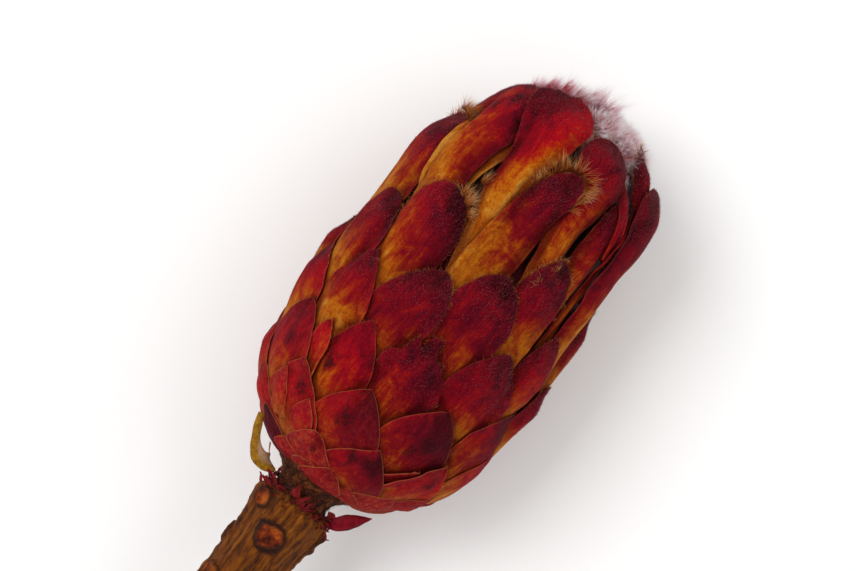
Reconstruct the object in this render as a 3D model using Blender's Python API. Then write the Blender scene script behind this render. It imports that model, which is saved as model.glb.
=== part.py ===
# Preserved protea flower: a cut woody stem with one closed flower head, lying on its side.
# Units are metres. The flower's axis runs along Y with the tip at +Y, and the side that faces up is +Z.
# The origin lies on the table, on the largest of the three flat spots that the head rests on.
# "Height" below is the distance along the axis from the neck, and "turn" is the angle about the axis,
# 0 where a bract faces up and growing towards +X.

import math
import random

import bmesh
import bpy
import numpy as np

MM = 0.001
GOLDEN_TURN = 137.5
SEED = 16

# Outline of the closed head at the outer faces of its bracts: height and radius in millimetres.
HEAD_OUTLINE = (
    (2.6, 14.0), (4.4, 17.0), (7.0, 20.0), (13.0, 23.9), (21.0, 25.9), (33.0, 27.2), (40.0, 27.5),
    (50.0, 26.8), (60.0, 26.0), (68.0, 25.3), (76.0, 23.8), (84.0, 20.6), (92.5, 13.4),
)
HEAD_LENGTH = 92.5
AXIS_HEIGHT = 25.1
ORIGIN_HEIGHT = 41.0
# How far the underside reaches from the axis, where the head has lain and is pressed flat.
FLAT_REACH = 25.9

# Bracts: the leathery coloured leaves that make the head. Number 0 faces up near the base.
FIRST_BRACT = -21
FIRST_LONG_BRACT = 32
LAST_BRACT = 48
BASE_TURN = -3.0
# Tip heights in millimetres: the bract that starts each span, its height and the rise to the next.
TIP_SPANS = ((-21, 4.9, 0.5), (-12, 9.4, 1.0), (0, 21.4, 1.36), (32, 76.5, 1.4))
# Widths in millimetres of the shorter bracts, by their number, and of the long ones.
BRACT_WIDTHS = ((-21, 10.0), (-8, 16.4), (6, 16.4), (24, 15.0))
LONG_BRACT_WIDTH = 11.8
BRACT_LENGTH = 26.0
LONG_BRACT_LENGTH = 52.0
# The tip is where a bract narrows to its end, never more than a share of its length.
TIP_LENGTH = 11.0
TIP_SHARE = 0.75
BLUNT_END = 0.03
# How pointed the tips are: the lower bracts end in a point, the long ones in a round spoon.
TIP_POINTS = ((6, 1.1), (24, 0.62))
SPOON_POINT = 0.5
BRACT_THICKNESS = 0.8
EDGE_THICKNESS = 0.6
# Each bract lies this much deeper than the one before it, in millimetres.
LAYER_STEP = 0.14
# Roots sink into the core, tips are pressed against the bracts below, and edges curve inwards.
ROOT_SINK = 1.6
TIP_PRESS = 0.6
TIP_PRESS_LENGTH = 6.0
CUPPING = 0.35
# Rows of points from root to tip.
ROWS = (0.0, 0.4, 0.64, 0.84, 1.0)
LONG_ROWS = (0.0, 0.3, 0.58, 0.78, 0.91, 1.0)
# Bracts that the eye meets first stand a little off the rule: turn and lean from root to tip in
# degrees, tip height, width and depth in millimetres, and how much of the width the stalk loses.
BRACT_HABIT = {
    -18: {"turn": -11.0, "tip": 0.4}, -16: {"turn": 10.0}, -11: {"turn": -2.7, "tip": 1.3},
    -10: {"turn": -2.0, "tip": 2.1}, -8: {"turn": -1.0, "tip": -0.8}, -5: {"turn": -1.4, "tip": 1.7},
    -3: {"turn": -2.7, "tip": 0.3}, 2: {"turn": -5.0, "tip": 2.2}, 3: {"turn": 0.7, "tip": 3.2},
    5: {"turn": -0.8, "tip": -0.6}, 8: {"turn": 3.9, "tip": 0.6, "width": -2.4}, 9: {"depth": -0.3},
    10: {"turn": -0.6, "tip": -0.6}, 11: {"turn": 5.0, "tip": 2.5}, 13: {"turn": -3.6, "tip": -1.8},
    15: {"turn": -7.0, "tip": 1.3}, 16: {"turn": 2.5, "tip": 1.3, "width": -1.0},
    18: {"turn": -0.6, "tip": -2.7}, 21: {"turn": 2.5, "tip": -1.2}, 23: {"turn": -14.0, "tip": -1.1},
    24: {"turn": 6.0, "tip": 1.8, "width": -1.0}, 26: {"turn": -7.0, "tip": -1.8},
    28: {"turn": -14.0, "tip": 1.1}, 29: {"turn": 1.2, "tip": 2.2},
    31: {"turn": -20.0, "tip": 0.6, "width": -4.0}, 32: {"turn": 20.0, "width": 1.0},
    34: {"turn": 8.0, "tip": 1.1, "width": -1.6, "lean": 8.0, "stalk": 0.06},
    36: {"turn": -19.0, "tip": 4.4, "depth": -0.8, "stalk": 0.1},
    37: {"turn": 7.0, "tip": 7.2, "width": 0.8, "depth": 0.6, "stalk": 0.12},
    39: {"turn": -12.0, "tip": 2.8}, 41: {"turn": -20.0},
    42: {"turn": 5.0, "tip": 1.9, "width": 1.8, "lean": -3.0, "stalk": 0.62},
    44: {"turn": -21.0, "tip": -0.8, "width": -2.0, "depth": 0.5}, 45: {"turn": -9.0, "depth": 0.6},
    46: {"turn": -34.0, "depth": 0.6}, 47: {"turn": -41.0, "depth": 0.7}, 48: {"depth": 0.6},
}
# How much of its width a bract loses below the tip, for the long ones and for the rest.
LONG_NARROWING = 0.4
NARROWING = 0.25
# The core lies this deep under the outline, less at its foot, and ends in a flattened dome.
CORE_DEPTH_BELOW = 2.0
CORE_DEPTH = 3.6
CORE_DEEPENS_OVER = 20.0
CORE_TOP = 55.0
CORE_DOME = 6.0
CORE_DOME_NARROWING = 0.3
CORE_SIDES = 28

# Florets: the packed flower mass inside the long bracts, ending in tufts of hair.
FLORET_FOOT = 55.4
FLORET_SHOULDER = 88.0
FLORET_CROWN = 93.0
FLORET_GAP = 0.9
FLORET_SIDES = 24
TUFT_COUNT = 100
TUFT_REACH = 98.2
TUFT_ROOT_RADIUS = 0.8
TUFT_TIP_RADIUS = 0.3
# The locks grow from most of the crown's width, and the outer ones end lower.
TUFT_SPREAD = 0.92
TUFT_ROOT_SINK = 3.5
TUFT_DROP = 4.2
TUFT_FLARE = 0.6
# How uneven they are: in length and in reach sideways in millimetres, and in turn in degrees.
TUFT_SHORTER = 2.5
TUFT_STRAY = (-0.5, 0.3)
TUFT_TWIST = 9.0

# Stem and the woolly cone that the head sits on: height and radius in millimetres.
STEM_OUTLINE = (
    (-48.0, 7.3), (-40.0, 7.2), (-32.0, 7.4), (-24.0, 7.1), (-18.0, 7.2), (-13.0, 7.7), (-9.0, 8.3),
    (-6.4, 7.9), (-5.0, 6.9), (-2.6, 8.4), (0.0, 11.0), (2.2, 13.6),
)
STEM_SIDES = 24
# Bark ridges, which wander to and fro and fade out between two heights under the head.
BARK_RIDGE = 0.28
BARK_RIDGE_COUNT = 7
BARK_WANDER = 0.35
BARK_WANDER_RATE = 0.13
BARK_FADE = (-6.0, -1.0)
# Leaf scars wind down the stem by nearly the same turn as the bracts, ever further apart.
FIRST_SCAR_HEIGHT = -8.5
SCAR_STEP = 1.5
SCAR_STEP_GROWTH = 0.1
SCAR_COUNT = 13
FIRST_SCAR_TURN = -45.0
SCAR_TURN_STEP = 134.4
SCAR_RADII = (2.1, 2.6, 2.4)
SCAR_RISE = 0.6
SCAR_DISH = 0.4
SCAR_DISH_SHARE = 0.6
SCAR_ROOT_SINK = 2.5
SCAR_FLARE = 1.1
SCAR_SIDES = 10
# Torn stubs of old leaves round the top of the stem.
STUB_COUNT = 8
STUB_HEIGHT = -5.6
STUB_LENGTH = 3.4
STUB_WIDTH = 3.0
STUB_SINK = 1.0
STUB_LEAN = 2.4
# Width along a stub, from root to torn end, as shares.
STUB_SHAPE = ((0.0, 1.0), (0.5, 0.9), (1.0, 0.25))

# Two small dried leaves at the neck, as points of the midrib in millimetres: X, height, Z.
DRY_LEAF_LINE = (
    (-16.0, 3.0, 3.6), (-15.8, 0.9, 3.4), (-14.0, -2.0, 3.2), (-11.2, -3.9, 3.0), (-8.0, -3.4, 2.8),
)
DRY_LEAF_WIDTHS = (1.2, 2.0, 2.2, 2.2, 1.2)
DRY_LEAF_FACING = (-0.5, 0.0, 1.0)
RED_LEAF_LINE = (
    (8.8, -5.6, 2.2), (10.0, -4.2, 2.4), (11.2, -2.7, 2.6), (12.5, -1.0, 2.4), (13.8, 0.9, 1.9),
)
RED_LEAF_WIDTHS = (1.0, 2.6, 3.2, 2.5, 0.8)
RED_LEAF_FACING = (0.2, -0.2, 1.0)
LEAF_THICKNESS = 0.7
LEAF_HOLLOW = 0.25


def clear_scene():
    for thing in list(bpy.data.objects):
        bpy.data.objects.remove(thing, do_unlink=True)


def make_material(name, color, roughness):
    material = bpy.data.materials.new(name)
    material.use_nodes = True
    shader = material.node_tree.nodes["Principled BSDF"]
    shader.inputs["Base Color"].default_value = (*color, 1.0)
    shader.inputs["Roughness"].default_value = roughness
    shader.inputs["Metallic"].default_value = 0.0
    return material


def smooth_line(points, spans=14):
    """Points on a smooth curve through the given ones."""
    points = np.array(points, float)
    padded = np.vstack([2 * points[0] - points[1], points, 2 * points[-1] - points[-2]])
    line = []
    for a, b, c, d in zip(padded, padded[1:], padded[2:], padded[3:]):
        for t in np.arange(spans) / spans:
            line.append(0.5 * (2 * b + (c - a) * t + (2 * a - 5 * b + 4 * c - d) * t**2
                               + (3 * b - a - 3 * c + d) * t**3))
    line.append(points[-1])
    return np.array(line)


def ease(value, start, end):
    share = np.clip((value - start) / (end - start), 0.0, 1.0)
    return share * share * (3 - 2 * share)


# The head's outline, followed by its own length from the neck.
OUTLINE = smooth_line(HEAD_OUTLINE)
ALONG = np.concatenate([[0.0], np.cumsum(np.linalg.norm(np.diff(OUTLINE, axis=0), axis=1))])
SLOPES = np.gradient(OUTLINE, ALONG, axis=0)


def along_at(height):
    return float(np.interp(height, OUTLINE[:, 0], ALONG))


def on_head(along, turn, depth):
    """A point under the head's outline, in metres."""
    height = np.interp(along, ALONG, OUTLINE[:, 0])
    radius = np.interp(along, ALONG, OUTLINE[:, 1])
    rise, widening = (np.interp(along, ALONG, SLOPES[:, i]) for i in (0, 1))
    below = -np.cos(turn)
    pressed = np.maximum(0.0, radius * below - FLAT_REACH) / np.maximum(below, 0.5)
    return place(height + depth * widening, radius - depth * rise - pressed, turn)


def place(height, radius, turn):
    """Height and radius in millimetres and turn in radians, as a point in metres."""
    return np.stack([
        MM * radius * np.sin(turn),
        MM * (height - ORIGIN_HEIGHT),
        MM * (AXIS_HEIGHT + radius * np.cos(turn)),
    ], axis=-1)


def add_object(name, points, faces):
    mesh = bpy.data.meshes.new(name)
    mesh.from_pydata([tuple(p) for p in points], [], faces)
    thing = bpy.data.objects.new(name, mesh)
    bpy.context.scene.collection.objects.link(thing)
    return thing


def add_blade(name, outer, inner):
    """A closed thin leaf between two grids of points, split into triangles alike on both faces."""
    rows, columns = outer.shape[:2]
    points = np.concatenate([outer.reshape(-1, 3), inner.reshape(-1, 3)])
    index = np.arange(rows * columns).reshape(rows, columns)
    under = index + rows * columns
    faces = []

    def add_quad(a, b, c, d):
        faces.extend([(a, b, c), (a, c, d)])

    for i in range(rows - 1):
        for j in range(columns - 1):
            a, b, c, d = index[i, j], index[i, j + 1], index[i + 1, j + 1], index[i + 1, j]
            add_quad(a, b, c, d)
            a, b, c, d = (k + rows * columns for k in (a, b, c, d))
            faces.extend([(a, c, b), (a, d, c)])
    for i in range(rows - 1):
        add_quad(index[i, 0], index[i + 1, 0], under[i + 1, 0], under[i, 0])
        add_quad(index[i + 1, -1], index[i, -1], under[i, -1], under[i + 1, -1])
    for j in range(columns - 1):
        add_quad(index[0, j + 1], index[0, j], under[0, j], under[0, j + 1])
        add_quad(index[-1, j], index[-1, j + 1], under[-1, j + 1], under[-1, j])
    return add_object(name, points, [tuple(int(k) for k in face) for face in faces])


def add_turned(name, rings, sides, swell=None):
    """A closed body turned about the flower's axis, from rings of height and radius."""
    turns = np.linspace(0, 2 * math.pi, sides, endpoint=False)
    points = []
    for height, radius in rings:
        extra = swell(height, turns) if swell else 0.0
        points.extend(place(np.full(sides, height), radius + extra, turns))
    faces = [tuple(reversed(range(sides)))]
    for i in range(len(rings) - 1):
        for j in range(sides):
            k = (j + 1) % sides
            faces.append((i * sides + j, i * sides + k, (i + 1) * sides + k, (i + 1) * sides + j))
    faces.append(tuple(range((len(rings) - 1) * sides, len(rings) * sides)))
    return add_object(name, points, faces)


def rule_tip(n):
    first, height, step = [span for span in TIP_SPANS if span[0] <= n][-1]
    return height + step * (n - first)


def by_number(n, pairs):
    """The value for bract n, read between pairs of a bract's number and its value."""
    numbers, values = zip(*pairs)
    return float(np.interp(n, numbers, values))


def bract_plan(n):
    """Turn, tip height, width, length and habit of bract n."""
    habit = BRACT_HABIT.get(n, {})
    tip = min(rule_tip(n) + habit.get("tip", 0.0), HEAD_LENGTH)
    turn = math.radians(BASE_TURN - GOLDEN_TURN * n + habit.get("turn", 0.0))
    if n >= FIRST_LONG_BRACT:
        width, length = LONG_BRACT_WIDTH, LONG_BRACT_LENGTH
    else:
        width, length = by_number(n, BRACT_WIDTHS), BRACT_LENGTH
    return turn, tip, width + habit.get("width", 0.0), length, habit


def layer_at(height):
    """Number of the bract whose tip would lie at this height by the rule."""
    numbers = np.arange(FIRST_BRACT, LAST_BRACT + 1)
    return float(np.interp(height, [rule_tip(n) for n in numbers], numbers))


def half_width(n, from_tip, width, length, habit):
    """Half the bract's width at a distance from its tip."""
    long_one = n >= FIRST_LONG_BRACT
    point = SPOON_POINT if long_one else by_number(n, TIP_POINTS)
    tip_length = min(TIP_LENGTH, TIP_SHARE * length)
    reach = np.clip(from_tip / tip_length, BLUNT_END, 1.0)
    stalk = habit.get("stalk", LONG_NARROWING if long_one else NARROWING)
    narrowing = 1 - stalk * ease(from_tip, 0.7 * tip_length, TIP_SHARE * length)
    return 0.5 * width * math.sin(math.pi / 2 * reach) ** point * narrowing


def add_bract(n):
    turn, tip, width, length, habit = bract_plan(n)
    long_one = n >= FIRST_LONG_BRACT
    tip_along = along_at(tip)
    length = min(length, tip_along - 0.2)
    steps = LONG_ROWS if long_one else ROWS
    across = np.linspace(-1.0, 1.0, 5)
    thickness = BRACT_THICKNESS + (EDGE_THICKNESS - BRACT_THICKNESS) * across**2
    layer = max(n, layer_at(tip)) if tip > HEAD_LENGTH - 1 else layer_at(tip)
    rows = []
    for share in steps:
        from_tip = length * (1 - share)
        along = tip_along - from_tip
        radius = float(np.interp(along, ALONG, OUTLINE[:, 1]))
        half = half_width(n, from_tip, width, length, habit)
        height = float(np.interp(along, ALONG, OUTLINE[:, 0]))
        depth = LAYER_STEP * (layer - layer_at(height)) + habit.get("depth", 0.0)
        depth += TIP_PRESS * max(0.0, 1 - from_tip / TIP_PRESS_LENGTH) ** 2
        if not long_one:
            depth += ROOT_SINK * (1 - share) ** 3
        depth = depth + CUPPING * across**2
        angle = turn + math.radians(habit.get("lean", 0.0)) * (share - 1) + across * half / radius
        rows.append((on_head(along, angle, depth), on_head(along, angle, depth + thickness)))
    outer, inner = (np.array([row[k] for row in rows]) for k in (0, 1))
    return add_blade(f"bract_{n - FIRST_BRACT}", outer, inner)


def add_bract_core():
    """The solid heart of the head that the bracts grow out of."""
    rings = []
    for along in np.linspace(0.1, along_at(CORE_TOP - CORE_DOME), 12):
        depth = CORE_DEPTH_BELOW + (CORE_DEPTH - CORE_DEPTH_BELOW) * ease(along, 0, CORE_DEEPENS_OVER)
        height = np.interp(along, ALONG, OUTLINE[:, 0])
        radius = np.interp(along, ALONG, OUTLINE[:, 1])
        rings.append((float(height), float(radius - depth)))
    base_height, base_radius = rings[-1]
    for share in (0.5, 1.0):
        radius = base_radius * (1 - CORE_DOME_NARROWING * share**2)
        rings.append((base_height + CORE_DOME * share, radius))
    return add_turned("bracts", rings, CORE_SIDES)


def join_all(base, collection):
    """Joins a collection's closed pieces to the base in one solid, and removes them."""
    union = base.modifiers.new("join", "BOOLEAN")
    union.operation = "UNION"
    union.operand_type = "COLLECTION"
    union.collection = collection
    union.solver = "EXACT"
    apply_modifiers(base)
    for piece in list(collection.objects):
        bpy.data.objects.remove(piece, do_unlink=True)
    bpy.data.collections.remove(collection)


def apply_modifiers(thing):
    evaluated = thing.evaluated_get(bpy.context.evaluated_depsgraph_get())
    mesh = bpy.data.meshes.new_from_object(evaluated)
    thing.modifiers.clear()
    thing.data = mesh


def gather(pieces, name):
    collection = bpy.data.collections.new(name)
    bpy.context.scene.collection.children.link(collection)
    for piece in pieces:
        bpy.context.scene.collection.objects.unlink(piece)
        collection.objects.link(piece)
    return collection


def keep_largest_shell(thing):
    """Fills sealed hollows and drops loose scraps that joining or cutting leaves."""
    work = bmesh.new()
    work.from_mesh(thing.data)
    left = set(work.faces)
    shells = []
    while left:
        shell = [left.pop()]
        for face in shell:
            near = {other for edge in face.edges for other in edge.link_faces if other in left}
            left -= near
            shell.extend(near)
        shells.append(shell)
    shells.sort(key=len)
    bmesh.ops.delete(work, geom=[f for shell in shells[:-1] for f in shell], context="FACES")
    work.to_mesh(thing.data)
    work.free()


def cut_rest_spot(thing):
    """Flattens what would reach below the table."""
    size = 0.2
    bpy.ops.mesh.primitive_cube_add(size=size, location=(0, 0, -size / 2))
    table = bpy.context.object
    cut = thing.modifiers.new("rest", "BOOLEAN")
    cut.operation = "DIFFERENCE"
    cut.object = table
    cut.solver = "EXACT"
    bpy.context.view_layer.update()
    apply_modifiers(thing)
    bpy.data.objects.remove(table, do_unlink=True)


def make_bracts(material):
    core = add_bract_core()
    pieces = [add_bract(n) for n in range(FIRST_BRACT, LAST_BRACT + 1)]
    join_all(core, gather(pieces, "bract pieces"))
    cut_rest_spot(core)
    keep_largest_shell(core)
    finish(core, material)


def inner_radius(height):
    """Clear radius inside the long bracts."""
    along = along_at(height)
    deepest_habit = max(habit.get("depth", 0.0) for habit in BRACT_HABIT.values())
    depth = LAYER_STEP * (LAST_BRACT - layer_at(height)) + deepest_habit
    depth += CUPPING + BRACT_THICKNESS + FLORET_GAP
    radius, rise = (float(np.interp(along, ALONG, values)) for values in (OUTLINE[:, 1], SLOPES[:, 0]))
    return radius - depth / rise


def add_tuft(number, draw):
    """One lock of floret hair: a slim three-sided spike that leans outwards from the crown."""
    share = math.sqrt((number + 0.5) / TUFT_COUNT)
    turn = math.radians(GOLDEN_TURN * number)
    crown = inner_radius(FLORET_SHOULDER)
    foot_radius = crown * share * TUFT_SPREAD
    foot_height = FLORET_CROWN - TUFT_ROOT_SINK - (FLORET_CROWN - FLORET_SHOULDER) * share**2
    tip_height = TUFT_REACH - TUFT_DROP * share**2 - draw.uniform(0, TUFT_SHORTER)
    tip_turn = turn + math.radians(draw.uniform(-TUFT_TWIST, TUFT_TWIST))
    tip_radius = foot_radius + TUFT_FLARE * share + draw.uniform(*TUFT_STRAY)
    points = []
    for height, radius, angle, size in (
        (foot_height, foot_radius, turn, TUFT_ROOT_RADIUS),
        (tip_height, max(0.0, tip_radius), tip_turn, TUFT_TIP_RADIUS),
    ):
        middle = place(np.array(height), np.array(radius), np.array(angle))
        for corner in range(3):
            spin = 2 * math.pi * corner / 3
            points.append(middle + MM * size * np.array([math.sin(spin), 0.0, math.cos(spin)]))
    faces = [(2, 1, 0), (3, 4, 5)]
    for a in range(3):
        b = (a + 1) % 3
        faces.extend([(a, b, b + 3), (a, b + 3, a + 3)])
    return add_object(f"tuft_{number}", points, faces)


def make_florets(material):
    rings = []
    for height in np.linspace(FLORET_FOOT, FLORET_SHOULDER, 8):
        rings.append((float(height), inner_radius(float(height))))
    top = rings[-1][1]
    for share in (0.4, 0.75, 0.95):
        height = FLORET_SHOULDER + (FLORET_CROWN - FLORET_SHOULDER) * math.sin(share * math.pi / 2)
        rings.append((height, top * math.cos(share * math.pi / 2)))
    core = add_turned("florets", rings, FLORET_SIDES)
    draw = random.Random(SEED)
    pieces = [add_tuft(number, draw) for number in range(TUFT_COUNT)]
    join_all(core, gather(pieces, "tuft pieces"))
    keep_largest_shell(core)
    finish(core, material)


def bark(height, turns):
    """Low ridges that wander round the stem as they run along it, fading at the woolly cone."""
    wander = BARK_WANDER * math.sin(height * BARK_WANDER_RATE)
    fade = 1 - ease(height, *BARK_FADE)
    return BARK_RIDGE * fade * np.sin(BARK_RIDGE_COUNT * (turns + wander))


def stem_radius(height):
    return float(np.interp(height, *np.array(STEM_OUTLINE).T))


def add_scar(number):
    """A round leaf scar: a low disc with a dished top, sunk into the stem."""
    height = FIRST_SCAR_HEIGHT - SCAR_STEP * number - SCAR_STEP_GROWTH * number**2
    turn = math.radians(FIRST_SCAR_TURN + SCAR_TURN_STEP * number)
    radius = SCAR_RADII[number % len(SCAR_RADII)]
    stem = stem_radius(height)
    sides = SCAR_SIDES
    levels = (
        (stem - SCAR_ROOT_SINK, radius * SCAR_FLARE),
        (stem + SCAR_RISE, radius),
        (stem + SCAR_RISE - SCAR_DISH, radius * SCAR_DISH_SHARE),
    )
    outward = np.array([math.sin(turn), 0.0, math.cos(turn)])
    sideways = np.array([math.cos(turn), 0.0, -math.sin(turn)])
    middle = np.array([0.0, MM * (height - ORIGIN_HEIGHT), MM * AXIS_HEIGHT])
    points = []
    for level, size in levels:
        for k in range(sides):
            spin = 2 * math.pi * k / sides
            offset = size * (math.cos(spin) * sideways + math.sin(spin) * np.array([0.0, 1.0, 0.0]))
            points.append(middle + MM * (level * outward + offset))
    faces = [tuple(reversed(range(sides)))]
    for i in range(len(levels) - 1):
        for k in range(sides):
            m = (k + 1) % sides
            faces.append((i * sides + k, i * sides + m, (i + 1) * sides + m, (i + 1) * sides + k))
    faces.append(tuple(range((len(levels) - 1) * sides, len(levels) * sides)))
    return add_object(f"scar_{number}", points, faces)


def add_stub(number, draw):
    """A short torn leaf base that stands off the stem."""
    turn = math.radians(GOLDEN_TURN * number)
    length = STUB_LENGTH * draw.uniform(0.7, 1.2)
    start = STUB_HEIGHT + draw.uniform(-0.6, 0.6)
    across = np.array([-1.0, 0.0, 1.0])
    outer_rows, inner_rows = [], []
    for share, wide in STUB_SHAPE:
        height = start + length * share
        radius = stem_radius(start) - STUB_SINK + STUB_LEAN * share
        angle = turn + across * 0.5 * STUB_WIDTH * wide / radius
        outer_rows.append(place(np.full(3, height), np.full(3, radius + LEAF_THICKNESS), angle))
        inner_rows.append(place(np.full(3, height), np.full(3, radius), angle))
    return add_blade(f"stub_{number}", np.array(outer_rows), np.array(inner_rows))


def make_stem(material):
    line = smooth_line(STEM_OUTLINE, spans=2)
    stem = add_turned("stem", [(float(h), float(r)) for h, r in line], STEM_SIDES, bark)
    draw = random.Random(SEED)
    pieces = [add_scar(number) for number in range(SCAR_COUNT)]
    pieces += [add_stub(number, draw) for number in range(STUB_COUNT)]
    join_all(stem, gather(pieces, "stem pieces"))
    keep_largest_shell(stem)
    finish(stem, material)


def make_leaf(name, line, widths, facing, material):
    """A small curved leaf along a midrib line, its broad face turned towards `facing`."""
    middle = smooth_line(line, spans=2)
    width = smooth_line([(w, 0.0) for w in widths], spans=2)[:, 0]
    runs = np.gradient(middle, axis=0)
    runs /= np.linalg.norm(runs, axis=1)[:, None]
    facing = np.array(facing, float)
    outer_rows, inner_rows = [], []
    for centre, run, wide in zip(middle, runs, width):
        side = np.cross(run, facing)
        side /= np.linalg.norm(side)
        normal = np.cross(side, run)
        outer, inner = [], []
        for across in (-1.0, -0.5, 0.0, 0.5, 1.0):
            hollow = LEAF_HOLLOW * wide * (0.5 - across**2)
            at = centre + side * across * wide / 2 + normal * hollow
            outer.append(at + normal * LEAF_THICKNESS / 2)
            inner.append(at - normal * LEAF_THICKNESS / 2)
        outer_rows.append(outer)
        inner_rows.append(inner)
    shift = np.array([0.0, -ORIGIN_HEIGHT, AXIS_HEIGHT])
    outer = MM * (np.array(outer_rows) + shift)
    inner = MM * (np.array(inner_rows) + shift)
    finish(add_blade(name, outer, inner), material)


def finish(thing, material):
    thing.data.materials.clear()
    thing.data.materials.append(material)
    thing.data.shade_smooth()
    thing.data.set_sharp_from_angle(angle=math.radians(40))


clear_scene()
make_stem(make_material("woody bark", (0.22, 0.13, 0.03), 0.8))
make_bracts(make_material("dried bract", (0.27, 0.03, 0.03), 0.7))
make_florets(make_material("floret hair", (0.62, 0.42, 0.42), 0.9))
ochre = make_material("dry leaf", (0.5, 0.28, 0.04), 0.7)
make_leaf("dry_leaf", DRY_LEAF_LINE, DRY_LEAF_WIDTHS, DRY_LEAF_FACING, ochre)
crimson = make_material("red leaf", (0.3, 0.01, 0.02), 0.6)
make_leaf("red_leaf", RED_LEAF_LINE, RED_LEAF_WIDTHS, RED_LEAF_FACING, crimson)
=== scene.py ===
# Preserved protea flower lying on a pale table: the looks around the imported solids.
# Metres, the flower's axis along Y with the tip at +Y, +Z up. Plain lengths in the dictionaries are
# millimetres, and those written with mm are metres, which is what the node trees take.
# "Height" is the distance along the axis from the neck, and "turn" the angle about it, 0 facing up.
import math
from functools import partial

import bpy
import numpy as np
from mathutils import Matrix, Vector, noise


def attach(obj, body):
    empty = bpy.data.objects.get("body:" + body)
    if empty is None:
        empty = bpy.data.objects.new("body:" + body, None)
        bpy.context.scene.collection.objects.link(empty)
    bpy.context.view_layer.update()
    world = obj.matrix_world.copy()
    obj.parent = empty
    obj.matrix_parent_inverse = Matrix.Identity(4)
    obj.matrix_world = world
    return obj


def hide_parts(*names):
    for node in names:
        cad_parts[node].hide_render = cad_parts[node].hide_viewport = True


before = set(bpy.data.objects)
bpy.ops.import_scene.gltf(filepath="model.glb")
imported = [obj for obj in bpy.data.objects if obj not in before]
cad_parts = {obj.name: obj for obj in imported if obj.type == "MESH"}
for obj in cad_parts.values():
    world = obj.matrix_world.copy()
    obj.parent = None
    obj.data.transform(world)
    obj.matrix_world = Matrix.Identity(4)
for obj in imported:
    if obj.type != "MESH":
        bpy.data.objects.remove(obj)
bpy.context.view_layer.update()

mm = 0.001
print("frame loaded:", sorted(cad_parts))


# Small helpers, used by every piece

def linearColor(hexCode):
    channels = [int(hexCode[i:i + 2], 16) / 255 for i in (1, 3, 5)]
    return (*[c / 12.92 if c <= 0.04045 else ((c + 0.055) / 1.055) ** 2.4 for c in channels], 1.0)


def addNode(tree, kind, inputs=None, output=0, stops=None, **settings):
    # adds a node with its settings, values and links, and gives back the wanted output
    node = tree.nodes.new(kind)
    for name, value in settings.items():
        setattr(node, name, value)
    for key, value in (inputs or {}).items():
        if isinstance(value, bpy.types.NodeSocket):
            tree.links.new(value, node.inputs[key])
        else:
            node.inputs[key].default_value = linearColor(value) if str(value)[0] == "#" else value
    if stops:  # a ramp's own list: position and colour or grey
        ramp = node.color_ramp.elements
        while len(ramp) < len(stops):
            ramp.new(0.5)
        for element, (position, tone) in zip(ramp, stops):
            element.position = position
            element.color = linearColor(tone) if isinstance(tone, str) else (tone, tone, tone, 1.0)
    return node.outputs[output] if node.outputs else node


def newMaterial(name, shaderValues):
    material = bpy.data.materials.new(name)
    material.use_nodes = True
    shader = material.node_tree.nodes["Principled BSDF"]
    for key, value in shaderValues.items():
        shader.inputs[key].default_value = value
    return material, shader, partial(addNode, material.node_tree)


def feedShader(shader, sources):
    for key, source in sources.items():
        shader.id_data.links.new(source, shader.inputs[key])


def ease(value, start, end):
    # 0 up to the start, 1 from the end, and a smooth rise between them
    share = np.clip((value - start) / (end - start), 0.0, 1.0)
    return share * share * (3 - 2 * share)


def smoothLine(points, spans=14):
    # a smooth line through all the points, in so many steps from each to the next
    points = np.array(points, float)
    padded = np.vstack([2 * points[0] - points[1], points, 2 * points[-1] - points[-2]])
    line = []
    for a, b, c, d in zip(padded, padded[1:], padded[2:], padded[3:]):
        for t in np.arange(spans) / spans:
            line.append(0.5 * (2 * b + (c - a) * t + (2 * a - 5 * b + 4 * c - d) * t**2
                               + (3 * b - a - 3 * c + d) * t**3))
    line.append(points[-1])
    return np.array(line)


def noiseAt(x, y, z):
    # Blender's own noise for arrays of places, between -1 and 1
    places = np.stack(np.broadcast_arrays(x, y, z), -1)
    return np.array([noise.noise(Vector(p)) for p in places.reshape(-1, 3)]).reshape(places.shape[:-1])


def soften(values, times):
    # each value becomes the mean of itself and its four neighbours
    for _ in range(times):
        padded = np.pad(values, 1, mode="edge")
        values = (padded[:-2, 1:-1] + padded[2:, 1:-1] + padded[1:-1, :-2] + padded[1:-1, 2:] + values) / 5
    return values


def makeObject(name, points, faces, material, attributes=None):
    mesh = bpy.data.meshes.new(name)
    mesh.from_pydata(np.asarray(points, float).reshape(-1, 3).tolist(), [], faces)
    for key, values in (attributes or {}).items():
        values = np.asarray(values, np.float32)
        vector = values.ndim == 2
        slot = mesh.attributes.new(key, "FLOAT_VECTOR" if vector else "FLOAT", "POINT")
        slot.data.foreach_set("vector" if vector else "value", values.ravel())
    mesh.shade_smooth()
    mesh.materials.append(material)
    thing = bpy.data.objects.new(name, mesh)
    bpy.context.scene.collection.objects.link(thing)
    return thing


def newTree(name, sizes):
    # an empty Geometry Nodes tree with one named input for each size
    tree = bpy.data.node_groups.new(name, "GeometryNodeTree")
    tree.interface.new_socket(name="Geometry", in_out="INPUT", socket_type="NodeSocketGeometry")
    tree.interface.new_socket(name="Geometry", in_out="OUTPUT", socket_type="NodeSocketGeometry")
    for key, value in sizes.items():
        kind = "NodeSocketInt" if isinstance(value, int) else "NodeSocketFloat"
        tree.interface.new_socket(name=key, in_out="INPUT", socket_type=kind).default_value = value
    given = tree.nodes.new("NodeGroupInput").outputs
    return tree, partial(addNode, tree), given


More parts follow.
